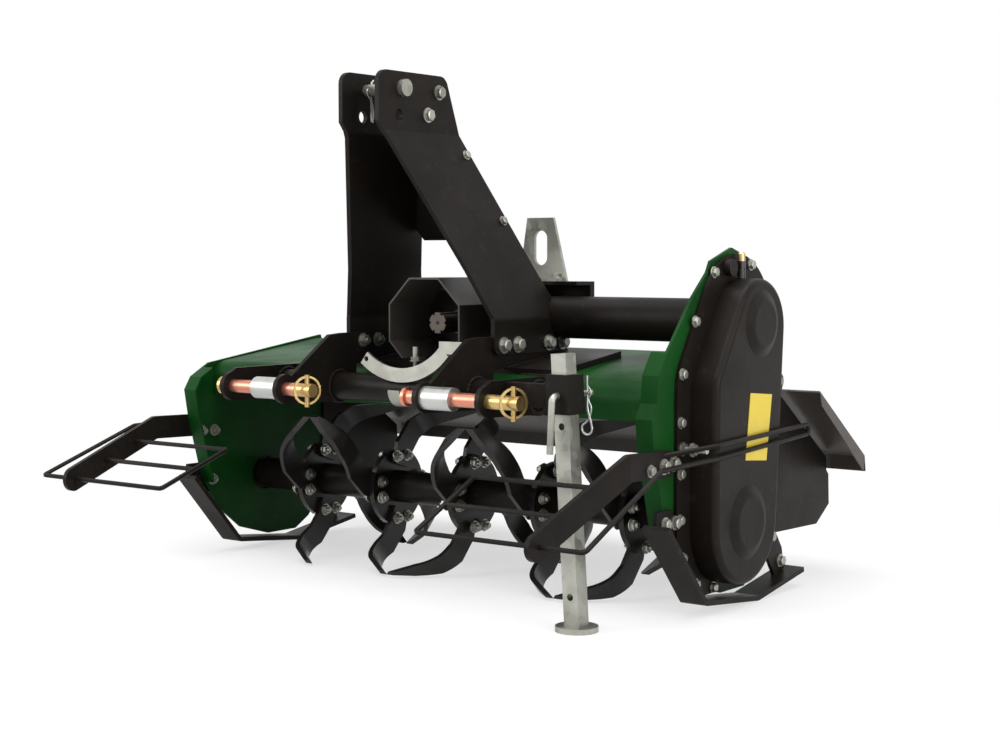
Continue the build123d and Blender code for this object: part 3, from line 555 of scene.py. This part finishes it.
class FastenerField:
    """Hexagons with washers, repeated by Geometry Nodes over points."""

    HEAD_HEIGHT = 0.72
    HEAD_SIDES = 6
    CROWN_SIDES = 18
    WASHER_RADIUS = 1.28
    WASHER_HEIGHT = 0.2
    WASHER_SIDES = 20
    LARGEST_SPIN = 1.05
    SEED = 11

    def __init__(self, name: str, body: Body, slot: Slot, shaders: ShaderKit, top: Top = Top.HEAD) -> None:
        self.name = name
        self.top = top
        self.body = body
        self.slot = slot
        self.shaders = shaders
        self.items: list[Fastener] = []

    def add(self, seat: Corner, axis: Corner, radius: float) -> None:
        """Adds one fastener to the field.

        Args:
            seat: the middle of its seat in mm.
            axis: its outward direction.
            radius: its head's radius in mm.
        """
        self.items.append(Fastener(seat, axis, radius))

    @staticmethod
    def _lifted(tree: Tree, shape: Node, height: Socket) -> Socket:
        """Lifts a shape off the seat.

        Args:
            tree: the field's tree.
            shape: the node that makes it.
            height: how far its middle or foot stands off.

        Returns:
            The lifted geometry.
        """
        lift = tree.nodes.new("ShaderNodeCombineXYZ")
        tree.links.new(height, lift.inputs["Z"])
        raised = tree.nodes.new("GeometryNodeTransform")
        tree.links.new(shape.outputs["Mesh"], raised.inputs["Geometry"])
        tree.links.new(lift.outputs[0], raised.inputs["Translation"])
        return raised.outputs["Geometry"]

    def _shape(self, tree: Tree, inlet: Node) -> Socket:
        """Makes one hexagon of radius 1 with what stands on it and its washer.

        Args:
            tree: the field's tree.
            inlet: the tree's input node.

        Returns:
            The joined geometry.
        """
        new, link = tree.nodes.new, tree.links.new
        tall, thick = inlet.outputs["Head Height"], inlet.outputs["Washer Height"]
        head = new("GeometryNodeMeshCylinder")
        head.inputs["Vertices"].default_value = self.HEAD_SIDES
        head.inputs["Radius"].default_value = 1.0
        link(tall, head.inputs["Depth"])
        crown = new("GeometryNodeMeshCone")
        crown.inputs["Vertices"].default_value = self.CROWN_SIDES
        for key, value in zip(("Radius Bottom", "Radius Top", "Depth"), self.top.value):
            crown.inputs[key].default_value = value
        washer = new("GeometryNodeMeshCylinder")
        washer.inputs["Vertices"].default_value = self.WASHER_SIDES
        link(inlet.outputs["Washer Radius"], washer.inputs["Radius"])
        link(thick, washer.inputs["Depth"])
        joined = new("GeometryNodeJoinGeometry")
        for shape, height in (
            (head, add_math(tree, "MULTIPLY_ADD", tall, 0.5, thick)),
            (crown, add_math(tree, "ADD", tall, thick)),
            (washer, add_math(tree, "MULTIPLY", thick, 0.5)),
        ):
            link(self._lifted(tree, shape, height), joined.inputs["Geometry"])
        return joined.outputs["Geometry"]

    @staticmethod
    def _attribute(tree: Tree, name: str, kind: str) -> Socket:
        """Reads an attribute of the points.

        Args:
            tree: the field's tree.
            name: the attribute's name.
            kind: its data type.

        Returns:
            Its value.
        """
        node = tree.nodes.new("GeometryNodeInputNamedAttribute")
        node.data_type = kind
        node.inputs["Name"].default_value = name
        return node.outputs["Attribute"]

    def _facing(self, tree: Tree, seed: Socket) -> Socket:
        """Turns each fastener outward and by a random angle about its axis.

        Args:
            tree: the field's tree.
            seed: the seed of the random angle.

        Returns:
            The rotation.
        """
        new, link = tree.nodes.new, tree.links.new
        turn = new("FunctionNodeAlignRotationToVector")
        turn.axis = "Z"
        link(self._attribute(tree, "axis", "FLOAT_VECTOR"), turn.inputs["Vector"])
        spin = new("FunctionNodeRandomValue")
        spin.data_type = "FLOAT"
        spin.inputs[3].default_value = self.LARGEST_SPIN
        link(seed, spin.inputs["Seed"])
        spun = new("FunctionNodeAxisAngleToRotation")
        link(spin.outputs[1], spun.inputs["Angle"])
        facing = new("FunctionNodeRotateRotation")
        facing.rotation_space = "LOCAL"
        link(turn.outputs["Rotation"], facing.inputs["Rotation"])
        link(spun.outputs["Rotation"], facing.inputs["Rotate By"])
        return facing.outputs["Rotation"]

    def _tree(self) -> Tree:
        """Makes the node group that puts a head and washer on each point.

        Returns:
            The geometry group.
        """
        tree = bpy.data.node_groups.new(f"{self.name}_nodes", "GeometryNodeTree")
        face = tree.interface
        face.new_socket("Geometry", in_out="INPUT", socket_type="NodeSocketGeometry")
        for key, value in (
            ("Head Height", self.HEAD_HEIGHT),
            ("Washer Radius", self.WASHER_RADIUS),
            ("Washer Height", self.WASHER_HEIGHT),
        ):
            face.new_socket(key, in_out="INPUT", socket_type="NodeSocketFloat").default_value = value
        face.new_socket("Seed", in_out="INPUT", socket_type="NodeSocketInt")
        face.new_socket("Material", in_out="INPUT", socket_type="NodeSocketMaterial")
        face.new_socket("Geometry", in_out="OUTPUT", socket_type="NodeSocketGeometry")
        new, link = tree.nodes.new, tree.links.new
        inlet, outlet = new("NodeGroupInput"), new("NodeGroupOutput")
        place = new("GeometryNodeInstanceOnPoints")
        link(inlet.outputs["Geometry"], place.inputs["Points"])
        link(self._shape(tree, inlet), place.inputs["Instance"])
        link(self._facing(tree, inlet.outputs["Seed"]), place.inputs["Rotation"])
        link(self._attribute(tree, "radius", "FLOAT"), place.inputs["Scale"])
        real = new("GeometryNodeRealizeInstances")
        link(place.outputs["Instances"], real.inputs["Geometry"])
        coat = new("GeometryNodeSetMaterial")
        link(real.outputs["Geometry"], coat.inputs["Geometry"])
        link(inlet.outputs["Material"], coat.inputs["Material"])
        link(coat.outputs["Geometry"], outlet.inputs["Geometry"])
        return tree

    def build(self) -> bpy.types.Object:
        """Makes the field's one mesh, riding on its body.

        Returns:
            The object.
        """
        points = [tuple(c * MM for c in item.seat) for item in self.items]
        cloud = mesh_object(f"{self.name}_points", points, [])
        for key, kind in (("axis", "FLOAT_VECTOR"), ("radius", "FLOAT")):
            cloud.data.attributes.new(key, kind, "POINT")
        for index, item in enumerate(self.items):
            cloud.data.attributes["axis"].data[index].vector = item.axis
            cloud.data.attributes["radius"].data[index].value = item.radius * MM
        tree = self._tree()
        modifier = cloud.modifiers.new("Fasteners", "NODES")
        modifier.node_group = tree
        keys = {s.name: s.identifier for s in tree.interface.items_tree if s.in_out == "INPUT"}
        modifier[keys["Material"]] = self.shaders.get(self.slot)
        modifier[keys["Seed"]] = self.SEED
        made = bake(cloud, self.name)
        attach(made, self.body.value)
        log.info("%s: %d fasteners", self.name, len(self.items))
        return made


def wire(
    name: str, runs: list[list[Corner]], radius: float, body: Body, slot: Slot, shaders: ShaderKit
) -> bpy.types.Object:
    """Round bent wires as one mesh on a body.

    Args:
        name: the piece's name.
        runs: smooth paths in mm, one for each wire.
        radius: the wire's radius in mm.
        body: the body it rides on.
        slot: the record's slot for its finish.
        shaders: the shader kit.

    Returns:
        The object.
    """
    data = bpy.data.curves.new(name, "CURVE")
    data.dimensions = "3D"
    data.bevel_depth = radius * MM
    data.bevel_resolution = WIRE_ROUNDNESS
    data.resolution_u = WIRE_STEPS
    data.use_fill_caps = True
    for run in runs:
        spline = data.splines.new("BEZIER")
        spline.bezier_points.add(len(run) - 1)
        for point, at in zip(spline.bezier_points, run):
            point.co = tuple(c * MM for c in at)
            point.handle_left_type = point.handle_right_type = "AUTO"
    source = bpy.data.objects.new(f"{name}_path", data)
    bpy.context.scene.collection.objects.link(source)
    made = bake(source, name)
    made.data.materials.clear()
    made.data.materials.append(shaders.get(slot))
    for face in made.data.polygons:
        face.use_smooth = True
    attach(made, body.value)
    return made


class WeldField:
    """Weld beads: drops laid along lines by Geometry Nodes."""

    PITCH = 4.2
    RADIUS = 3.4
    SUBDIVISIONS = 2
    SIZE_SPAN = (0.82, 1.12)
    SEED = 5

    def __init__(self, name: str, body: Body, slot: Slot, shaders: ShaderKit) -> None:
        self.name = name
        self.body = body
        self.slot = slot
        self.shaders = shaders
        self.points: list[Corner] = []

    def line(self, start: Corner, end: Corner) -> None:
        """Adds a straight bead.

        Args:
            start: one end in mm.
            end: the other end in mm.
        """
        a, b = Vector(start), Vector(end)
        count = max(2, round((b - a).length / self.PITCH))
        self.points.extend(tuple(a.lerp(b, k / count)) for k in range(count + 1))

    def ring(self, middle: Corner, radius: float) -> None:
        """Adds a round bead about an X axis.

        Args:
            middle: its middle in mm.
            radius: its radius in mm.
        """
        x, y, z = middle
        count = round(2 * math.pi * radius / self.PITCH)
        for k in range(count):
            a = 2 * math.pi * k / count
            self.points.append((x, y + radius * math.cos(a), z + radius * math.sin(a)))

    def _tree(self) -> Tree:
        """Makes the node group that puts an uneven drop on each point.

        Returns:
            The geometry group.
        """
        tree = bpy.data.node_groups.new(f"{self.name}_nodes", "GeometryNodeTree")
        face = tree.interface
        face.new_socket("Geometry", in_out="INPUT", socket_type="NodeSocketGeometry")
        face.new_socket("Radius", in_out="INPUT", socket_type="NodeSocketFloat")
        face.new_socket("Seed", in_out="INPUT", socket_type="NodeSocketInt")
        face.new_socket("Material", in_out="INPUT", socket_type="NodeSocketMaterial")
        face.new_socket("Geometry", in_out="OUTPUT", socket_type="NodeSocketGeometry")
        new, link = tree.nodes.new, tree.links.new
        inlet, outlet = new("NodeGroupInput"), new("NodeGroupOutput")
        drop = new("GeometryNodeMeshIcoSphere")
        drop.inputs["Subdivisions"].default_value = self.SUBDIVISIONS
        link(inlet.outputs["Radius"], drop.inputs["Radius"])
        size = new("FunctionNodeRandomValue")
        size.inputs[2].default_value, size.inputs[3].default_value = self.SIZE_SPAN
        link(inlet.outputs["Seed"], size.inputs["Seed"])
        place = new("GeometryNodeInstanceOnPoints")
        link(inlet.outputs["Geometry"], place.inputs["Points"])
        link(drop.outputs["Mesh"], place.inputs["Instance"])
        link(size.outputs[1], place.inputs["Scale"])
        real = new("GeometryNodeRealizeInstances")
        link(place.outputs["Instances"], real.inputs["Geometry"])
        coat = new("GeometryNodeSetMaterial")
        link(real.outputs["Geometry"], coat.inputs["Geometry"])
        link(inlet.outputs["Material"], coat.inputs["Material"])
        smooth = new("GeometryNodeSetShadeSmooth")
        link(coat.outputs["Geometry"], smooth.inputs["Geometry"])
        link(smooth.outputs["Geometry"], outlet.inputs["Geometry"])
        return tree

    def build(self) -> bpy.types.Object:
        """Makes the beads' one mesh, riding on its body.

        Returns:
            The object.
        """
        points = [tuple(c * MM for c in at) for at in self.points]
        cloud = mesh_object(f"{self.name}_points", points, [])
        tree = self._tree()
        modifier = cloud.modifiers.new("Beads", "NODES")
        modifier.node_group = tree
        keys = {s.name: s.identifier for s in tree.interface.items_tree if s.in_out == "INPUT"}
        modifier[keys["Radius"]] = self.RADIUS * MM
        modifier[keys["Seed"]] = self.SEED
        modifier[keys["Material"]] = self.shaders.get(self.slot)
        made = bake(cloud, self.name)
        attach(made, self.body.value)
        return made


@dataclass(frozen=True)
class CaseSizes:
    """Chain case sizes in mm."""

    flange_x: float = 503.0
    bolt_radius: float = 7.2
    cover_x: float = 549.5
    label: tuple[Place, ...] = (
        (34.0, 234.0),
        (101.0, 228.0),
        (117.0, 331.0),
        (48.0, 337.0),
    )
    label_t: float = 0.8


class ChainCase:
    """Bolts round the chain case and its blank label."""

    BOLTS = (
        (14.0, 523.0), (-42.0, 449.0), (-78.0, 371.0), (-82.0, 298.0), (-82.0, 221.0),
        (-83.0, 151.0), (-75.0, 92.0), (-36.0, 47.0), (18.0, 34.0), (130.0, 534.0),
        (186.0, 480.0), (184.0, 380.0), (176.0, 290.0), (170.0, 200.0), (166.0, 120.0),
    )

    def __init__(self, shaders: ShaderKit, sizes: CaseSizes = CaseSizes()) -> None:
        self.shaders = shaders
        self.sizes = sizes

    def dress(self, bolts: FastenerField) -> None:
        """Adds the flange bolts.

        Args:
            bolts: the frame's field of bolt heads.
        """
        for y, z in self.BOLTS:
            bolts.add((self.sizes.flange_x, y, z), (1, 0, 0), self.sizes.bolt_radius)

    def mesh(self) -> bpy.types.Object:
        """Makes the blank label plate on the cover.

        Returns:
            The object.
        """
        s = self.sizes
        x0, x1 = s.cover_x * MM, (s.cover_x + s.label_t) * MM
        points = [(x, y * MM, z * MM) for x in (x0, x1) for y, z in s.label]
        faces = [(3, 2, 1, 0), (4, 5, 6, 7)] + [
            (k, (k + 1) % 4, (k + 1) % 4 + 4, k + 4) for k in range(4)
        ]
        label = mesh_object("case_label", points, faces)
        label.data.materials.append(self.shaders.label())
        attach(label, Body.FRAME.value)
        return label


@dataclass(frozen=True)
class HitchSizes:
    """Seats and radii at the mast and hitch in mm; bolts on both sides count X from the middle."""

    foot_x: float = 159.0
    foot_rows: tuple[float, ...] = (-75.0, -37.0, 50.0, 90.0)
    foot_z: float = 404.0
    foot_grip: float = 16.0
    foot_bolt: float = 10.5
    foot_nut: float = 9.5
    top_x: float = 42.0
    top_bolts: tuple[Place, ...] = ((-96.0, 813.0), (-124.0, 775.0))
    top_bolt: float = 9.5
    brace_bolts: tuple[Corner, ...] = ((55.0, -40.0, 714.0), (97.4, 5.0, 606.0))
    brace_lean: Place = (0.932, 0.362)
    brace_bolt: float = 6.5
    lug_bolts: tuple[Corner, ...] = ((125.0, 130.0, 511.0), (66.0, 130.0, 511.0))
    lug_bolt: float = 7.0
    stud_end: Corner = (HITCH_X, -106.0, 374.0)
    stud_nut: float = 8.0
    shaft_end: Corner = (HITCH_X, -48.0, 436.0)
    # Depths and radius of the dark disc painted as the shade of the shaft's centre hole.
    hole_shade_depths: tuple[float, ...] = (1.0, 0.2, -0.4)
    hole_shade_radius: float = 3.4
    top_pin: Corner = (0.0, -187.0, 814.0)
    clip_radius: float = 1.6


class Hitch:
    """Bolts, clips and studs of the mast and the hitch plates."""

    CLIP_BEND = (
        (-16.0, 6.0, 16.0),
        (-16.0, -2.0, 6.0),
        (-15.0, -11.0, -4.0),
        (-15.0, -2.0, -16.0),
        (-14.0, 3.0, -34.0),
        (-14.0, 1.0, -52.0),
    )
    CLIP_LEG = ((-17.0, 2.0, 14.0), (-17.0, 1.0, 0.0), (-16.0, 1.0, -50.0))

    def __init__(self, shaders: ShaderKit, sizes: HitchSizes = HitchSizes()) -> None:
        self.shaders = shaders
        self.sizes = sizes

    def dress(self, bolts: FastenerField, nuts: FastenerField) -> None:
        """Adds the mast's bolts on both sides, their nuts inside and the lug's bolts.

        Args:
            bolts: the frame's field of bolt heads.
            nuts: the frame's field of nuts.
        """
        s = self.sizes
        lean_x, lean_z = s.brace_lean
        for sign in (-1.0, 1.0):
            for y in s.foot_rows:
                bolts.add((HITCH_X + sign * s.foot_x, y, s.foot_z), (sign, 0, 0), s.foot_bolt)
                inner_x = HITCH_X + sign * (s.foot_x - s.foot_grip)
                nuts.add((inner_x, y, s.foot_z), (-sign, 0, 0), s.foot_nut)
            for y, z in s.top_bolts:
                bolts.add((HITCH_X + sign * s.top_x, y, z), (sign, 0, 0), s.top_bolt)
            for x, y, z in s.brace_bolts:
                bolts.add((HITCH_X + sign * x, y, z), (sign * lean_x, 0, lean_z), s.brace_bolt)
        for seat in s.lug_bolts:
            bolts.add(seat, (0, 0, 1), s.lug_bolt)
        nuts.add(s.stud_end, (0, 0, 1), s.stud_nut)

    def mesh(self) -> None:
        """Makes a dark disc on the input shaft's end, painted shade standing in for its centre hole, and
        the top pin's spring clip.
        """
        s = self.sizes
        x, y, z = s.shaft_end
        # A dark disc a little proud of the shaft's end: painted shade in place of its centre hole.
        hole_shade = [(x, y + depth, z) for depth in s.hole_shade_depths]
        wire("shaft_hole_shade", [hole_shade], s.hole_shade_radius, Body.PTO, Slot.TINE, self.shaders)
        clip = [moved(run, s.top_pin) for run in (self.CLIP_BEND, self.CLIP_LEG)]
        wire("top_pin_clip", clip, s.clip_radius, Body.FRAME, Slot.ZINC, self.shaders)


@dataclass(frozen=True)
class StandSizes:
    """Parking stand sizes in mm; the eye's turns are its first, end and step in degrees."""

    pin: Corner = (402.3, -184.0, 345.0)
    collar_y: float = -213.0
    collar_radius: float = 9.0
    eye_drop: float = 53.0
    eye_y: float = 1.5
    eye_radius: float = 9.0
    eye_turns: tuple[int, int, int] = (70, 341, 30)
    clip_radius: float = 1.6
    end_reach: tuple[float, ...] = (-14.0, 0.0, 13.0)
    end_radius: float = 3.8


class Stand:
    """Spring clip and pin end of the parking stand."""

    CLIP_STRAIGHT = ((1.0, 0.0, 26.0), (1.0, 0.0, 0.0), (2.0, 0.0, -24.0), (7.0, 0.0, -40.0))
    CLIP_BOWED = (
        (3.0, 3.0, -36.0),
        (6.0, 3.0, -22.0),
        (1.0, 3.0, -9.0),
        (5.0, 4.0, 0.0),
        (-1.0, 3.0, 12.0),
        (-1.0, 3.0, 24.0),
    )

    def __init__(self, shaders: ShaderKit, sizes: StandSizes = StandSizes()) -> None:
        self.shaders = shaders
        self.sizes = sizes

    def dress(self, nuts: FastenerField) -> None:
        """Adds the washer and collar behind the locking pin.

        Args:
            nuts: the frame's field of nuts.
        """
        s = self.sizes
        nuts.add((s.pin[0], s.collar_y, s.pin[2]), (0, 1, 0), s.collar_radius)

    def mesh(self) -> None:
        """Makes the spring clip through the locking pin and the pin's thin end."""
        s = self.sizes
        x, y, z = s.pin
        turns = [math.radians(turn) for turn in range(*s.eye_turns)]
        ring = [(s.eye_radius * math.sin(a), s.eye_y, s.eye_radius * math.cos(a)) for a in turns]
        eye = moved(ring, (x, y, z - s.eye_drop))
        clip = moved(self.CLIP_STRAIGHT, s.pin) + eye + moved(self.CLIP_BOWED, s.pin)
        wire("stand_clip", [clip], s.clip_radius, Body.FRAME, Slot.SLEEVE, self.shaders)
        end = [(x, y + reach, z) for reach in s.end_reach]
        wire("stand_pin_end", [end], s.end_radius, Body.FRAME, Slot.SLEEVE, self.shaders)


@dataclass(frozen=True)
class RotorSizes:
    """Rotor sizes in mm and degrees; the axis is given as Y and Z."""

    axis: Place = (45.0, 137.0)
    flanges_x: tuple[float, ...] = (-337.0, -163.0, 11.0, 185.0, 359.0)
    half_stack: float = 13.0
    tine_turns: tuple[float, ...] = (0.0, 90.0, 180.0, 270.0)
    bolt_lags: Place = (-14.0, 14.0)
    bolt_circle: float = 57.0
    bolt_radius: float = 8.5


class Rotor:
    """Bolts of the tines on the rotor's flanges."""

    def __init__(self, sizes: RotorSizes = RotorSizes()) -> None:
        self.sizes = sizes

    def dress(self, bolts: FastenerField) -> None:
        """Adds two bolts for each tine on both faces of each flange.

        Args:
            bolts: the rotor's field of bolts.
        """
        s = self.sizes
        axis_y, axis_z = s.axis
        for x in s.flanges_x:
            for turn in s.tine_turns:
                for lag in s.bolt_lags:
                    a = math.radians(turn + lag)
                    y = axis_y - s.bolt_circle * math.sin(a)
                    z = axis_z - s.bolt_circle * math.cos(a)
                    for sign in (1.0, -1.0):
                        bolts.add((x + sign * s.half_stack, y, z), (sign, 0, 0), s.bolt_radius)


@dataclass(frozen=True)
class RunnerSizes:
    """Seats on the side plates in mm, given as Y and Z, and radii in mm."""

    lug_x: float = 503.0
    lug_bolts: tuple[Place, ...] = ((-125.0, 150.0), (-97.0, 149.0), (239.0, 45.0), (205.0, 90.0))
    lug_bolt: float = 8.5
    arm_x: float = 505.0
    arm_bolts: tuple[Place, ...] = ((-133.0, 237.0), (-106.0, 239.0))
    arm_bolt: float = 9.5
    plate_in: float = 492.0
    inner_nuts: tuple[Place, ...] = ((-117.0, 229.0), (-86.0, 228.0), (-92.0, 138.0))
    inner_nut: float = 8.5
    right_bolt_at: Place = (-170.0, 234.0)
    right_bolt: float = 7.5
    stud_at: Place = (-76.0, 258.0)
    stud_run: tuple[float, ...] = (498.0, 520.0, 546.0)
    stud_radius: float = 5.0
    stud_nuts: Place = (503.0, 520.0)
    stud_nut: float = 8.5


class Runners:
    """Bolts of the skids and the guard arms on the side plates."""

    def __init__(self, shaders: ShaderKit, sizes: RunnerSizes = RunnerSizes()) -> None:
        self.shaders = shaders
        self.sizes = sizes

    def dress(self, bolts: FastenerField, nuts: FastenerField) -> None:
        """Adds the bolts on both sides of the machine and the long stud's nuts.

        Args:
            bolts: the frame's field of bolt heads.
            nuts: the frame's field of nuts.
        """
        s = self.sizes
        for sign in (-1.0, 1.0):
            for y, z in s.lug_bolts:
                bolts.add((sign * s.lug_x, y, z), (sign, 0, 0), s.lug_bolt)
            for y, z in s.arm_bolts:
                bolts.add((sign * s.arm_x, y, z), (sign, 0, 0), s.arm_bolt)
            for y, z in s.inner_nuts:
                nuts.add((sign * s.plate_in, y, z), (-sign, 0, 0), s.inner_nut)
        bolts.add((s.arm_x, *s.right_bolt_at), (1, 0, 0), s.right_bolt)
        for x in s.stud_nuts:
            nuts.add((x, *s.stud_at), (1, 0, 0), s.stud_nut)

    def mesh(self) -> None:
        """Makes the long stud that holds the right wire loop."""
        s = self.sizes
        run = [(x, *s.stud_at) for x in s.stud_run]
        wire("loop_stud", [run], s.stud_radius, Body.FRAME, Slot.SLEEVE, self.shaders)


@dataclass(frozen=True)
class JoinSizes:
    """Places of the weld beads in mm; plate faces count X from the hitch's middle."""

    tube: Corner = (-135.0, 329.0, 26.0)
    tube_faces: tuple[float, ...] = (143.0, 151.0, 264.0, 272.0)
    base_faces: Place = (143.0, 151.0)
    base_run: Place = (-54.0, 114.0)
    base_edges: Place = (-56.0, 122.0)
    base_edge_drop: float = 10.0
    stitches: tuple[float, ...] = (-240.0, 40.0, 190.0)
    stitch_length: float = 55.0
    base_slope: float = 0.129
    base_y: float = 204.0
    base_z: float = 400.0


class Joins:
    """Weld beads where plates and tubes meet."""

    def __init__(self, shaders: ShaderKit, sizes: JoinSizes = JoinSizes()) -> None:
        self.shaders = shaders
        self.sizes = sizes

    def base_top(self, y: float) -> float:
        """Finds the height of the base plate's upper face.

        Args:
            y: the place along the machine in mm.

        Returns:
            The height in mm.
        """
        s = self.sizes
        return s.base_z + s.base_slope * (y - s.base_y)

    def mesh(self) -> None:
        """Makes the frame's weld beads."""
        s = self.sizes
        welds = WeldField("welds_frame", Body.FRAME, Slot.BLACK, self.shaders)
        y, z, radius = s.tube
        near, far = s.base_run
        for sign in (-1.0, 1.0):
            for face in s.tube_faces:
                welds.ring((HITCH_X + sign * face, y, z), radius)
            for face in s.base_faces:
                x = HITCH_X + sign * face
                welds.line((x, near, self.base_top(near)), (x, far, self.base_top(far)))
        for y in s.base_edges:
            low = self.base_top(y) - s.base_edge_drop
            for x in s.stitches:
                welds.line((x, y, low), (x + s.stitch_length, y, low))
        welds.build()


@dataclass(frozen=True)
class Lamp:
    """A square area light: its name, place and side in metres, and power in watts."""

    name: str
    at: Corner
    side: float
    watts: float


class Studio:
    """Camera, lights, floor and world, as in the photograph."""

    CAMERA_AT = (1.8336, -2.3042, 0.546)
    AZIMUTH = 36.906
    PITCH = 3.905
    LENS = 62.15
    SENSOR = 36.0
    LAMPS = (
        Lamp("overhead", (0.3, -0.6, 3.4), 3.2, 110.0),
        Lamp("front_left", (-2.6, -3.0, 1.9), 2.2, 75.0),
        Lamp("right", (3.4, -0.6, 1.4), 2.0, 60.0),
    )
    LAMP_AIM = (0.0, 0.0, 0.35)
    WHITE = (1.0, 1.0, 1.0, 1.0)
    SKY = (0.80, 0.80, 0.80, 1.0)
    SKY_STRENGTH = 0.55
    FLOOR_HALF = 14.0
    FLOOR_Z = -0.0004
    FLOOR_GREY = (0.93, 0.93, 0.93, 1.0)
    FLOOR_ROUGHNESS = 0.9
    FLOOR_FADE = (0.55, 1.5)
    FLOOR_GLOW = 0.6

    def camera(self) -> None:
        """Sets the camera at the photograph's place."""
        data = bpy.data.cameras.new("camera")
        data.lens = self.LENS
        data.sensor_width = self.SENSOR
        seat = bpy.data.objects.new("camera", data)
        seat.location = self.CAMERA_AT
        seat.rotation_euler = (math.radians(90.0 - self.PITCH), 0.0, math.radians(self.AZIMUTH))
        bpy.context.scene.collection.objects.link(seat)
        bpy.context.scene.camera = seat

    def lights(self) -> None:
        """Hangs large soft lights over and beside the machine."""
        for lamp in self.LAMPS:
            data = bpy.data.lights.new(lamp.name, "AREA")
            data.shape = "SQUARE"
            data.size = lamp.side
            data.energy = lamp.watts
            made = bpy.data.objects.new(lamp.name, data)
            made.location = lamp.at
            ray = Vector(self.LAMP_AIM) - Vector(lamp.at)
            made.rotation_euler = ray.to_track_quat("-Z", "Y").to_euler()
            bpy.context.scene.collection.objects.link(made)

    @staticmethod
    def _seen_rays(tree: Tree) -> Socket:
        """Masks what camera, glossy and transmission rays meet.

        Args:
            tree: the shader tree.

        Returns:
            The mask.
        """
        path = tree.nodes.new("ShaderNodeLightPath")
        total = path.outputs["Is Camera Ray"]
        for key in ("Is Glossy Ray", "Is Transmission Ray"):
            total = add_math(tree, "MAXIMUM", total, path.outputs[key])
        return total

    def world(self) -> None:
        """Makes the world white where it is seen and soft pale grey where it lights."""
        world = bpy.data.worlds.new("studio")
        bpy.context.scene.world = world
        world.use_nodes = True
        tree = world.node_tree
        tree.nodes.clear()
        seen = tree.nodes.new("ShaderNodeBackground")
        seen.inputs["Color"].default_value = self.WHITE
        lit = tree.nodes.new("ShaderNodeBackground")
        lit.inputs["Color"].default_value = self.SKY
        lit.inputs["Strength"].default_value = self.SKY_STRENGTH
        mix = tree.nodes.new("ShaderNodeMixShader")
        out = tree.nodes.new("ShaderNodeOutputWorld")
        tree.links.new(self._seen_rays(tree), mix.inputs[0])
        tree.links.new(lit.outputs[0], mix.inputs[1])
        tree.links.new(seen.outputs[0], mix.inputs[2])
        tree.links.new(mix.outputs[0], out.inputs["Surface"])

    def floor(self) -> None:
        """Lays a plain pale floor, which isn't part of the machine."""
        half, z = self.FLOOR_HALF, self.FLOOR_Z
        corners = [(-half, -half, z), (half, -half, z), (half, half, z), (-half, half, z)]
        floor = mesh_object("floor", corners, [(0, 1, 2, 3)])
        material = bpy.data.materials.new("floor")
        material.use_nodes = True
        tree = material.node_tree
        surface = tree.nodes["Principled BSDF"]
        surface.inputs["Base Color"].default_value = self.FLOOR_GREY
        surface.inputs["Roughness"].default_value = self.FLOOR_ROUGHNESS
        glow = tree.nodes.new("ShaderNodeEmission")
        place = tree.nodes.new("ShaderNodeTexCoord")
        reach = tree.nodes.new("ShaderNodeVectorMath")
        reach.operation = "LENGTH"
        fade = tree.nodes.new("ShaderNodeMapRange")
        fade.interpolation_type = "SMOOTHSTEP"
        for key, value in zip(("From Min", "From Max", "To Min"), (*self.FLOOR_FADE, self.FLOOR_GLOW)):
            fade.inputs[key].default_value = value
        tree.links.new(place.outputs["Object"], reach.inputs[0])
        tree.links.new(reach.outputs["Value"], fade.inputs["Value"])
        both = add_math(tree, "MULTIPLY", fade.outputs["Result"], self._seen_rays(tree))
        mix = tree.nodes.new("ShaderNodeMixShader")
        tree.links.new(both, mix.inputs[0])
        tree.links.new(surface.outputs["BSDF"], mix.inputs[1])
        tree.links.new(glow.outputs["Emission"], mix.inputs[2])
        tree.links.new(mix.outputs[0], tree.nodes["Material Output"].inputs["Surface"])
        floor.data.materials.append(material)


class Tiller:
    """The whole machine: finishes on the CAD nodes and the pieces round them."""

    def __init__(self, shaders: ShaderKit) -> None:
        self.shaders = shaders
        self.case = ChainCase(shaders)
        self.hitch = Hitch(shaders)
        self.stand = Stand(shaders)
        self.rotor = Rotor()
        self.runners = Runners(shaders)
        self.joins = Joins(shaders)

    def finish_nodes(self) -> None:
        """Gives every CAD node the material of its slot in the record."""
        for entry in frame["record"]["subparts"]:
            node = frame["nodes"].get(entry["node"])
            if node is None:
                continue
            node.data.materials.clear()
            node.data.materials.append(self.shaders.get(Slot(entry["material_slot"])))

    def dress(self) -> None:
        """Adds the label, fasteners, clips and weld beads."""
        bolts = FastenerField("bolts_frame", Body.FRAME, Slot.ZINC, self.shaders)
        nuts = FastenerField("nuts_frame", Body.FRAME, Slot.ZINC, self.shaders, Top.NUT)
        self.case.dress(bolts)
        self.hitch.dress(bolts, nuts)
        self.stand.dress(nuts)
        self.runners.dress(bolts, nuts)
        bolts.build()
        nuts.build()
        turning = FastenerField("bolts_rotor", Body.ROTOR, Slot.ZINC, self.shaders, Top.NUT)
        self.rotor.dress(turning)
        turning.build()
        for part in (self.case, self.hitch, self.stand, self.runners, self.joins):
            part.mesh()


def main() -> None:
    """Builds the looks in order."""
    logging.basicConfig(level=logging.INFO, format="%(name)s %(message)s")
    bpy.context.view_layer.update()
    tiller = Tiller(ShaderKit())
    tiller.finish_nodes()
    tiller.dress()
    studio = Studio()
    studio.floor()
    studio.world()
    studio.lights()
    studio.camera()
    bpy.context.scene.view_settings.view_transform = "Standard"
    bpy.context.view_layer.update()


if __name__ == "__main__":
    main()
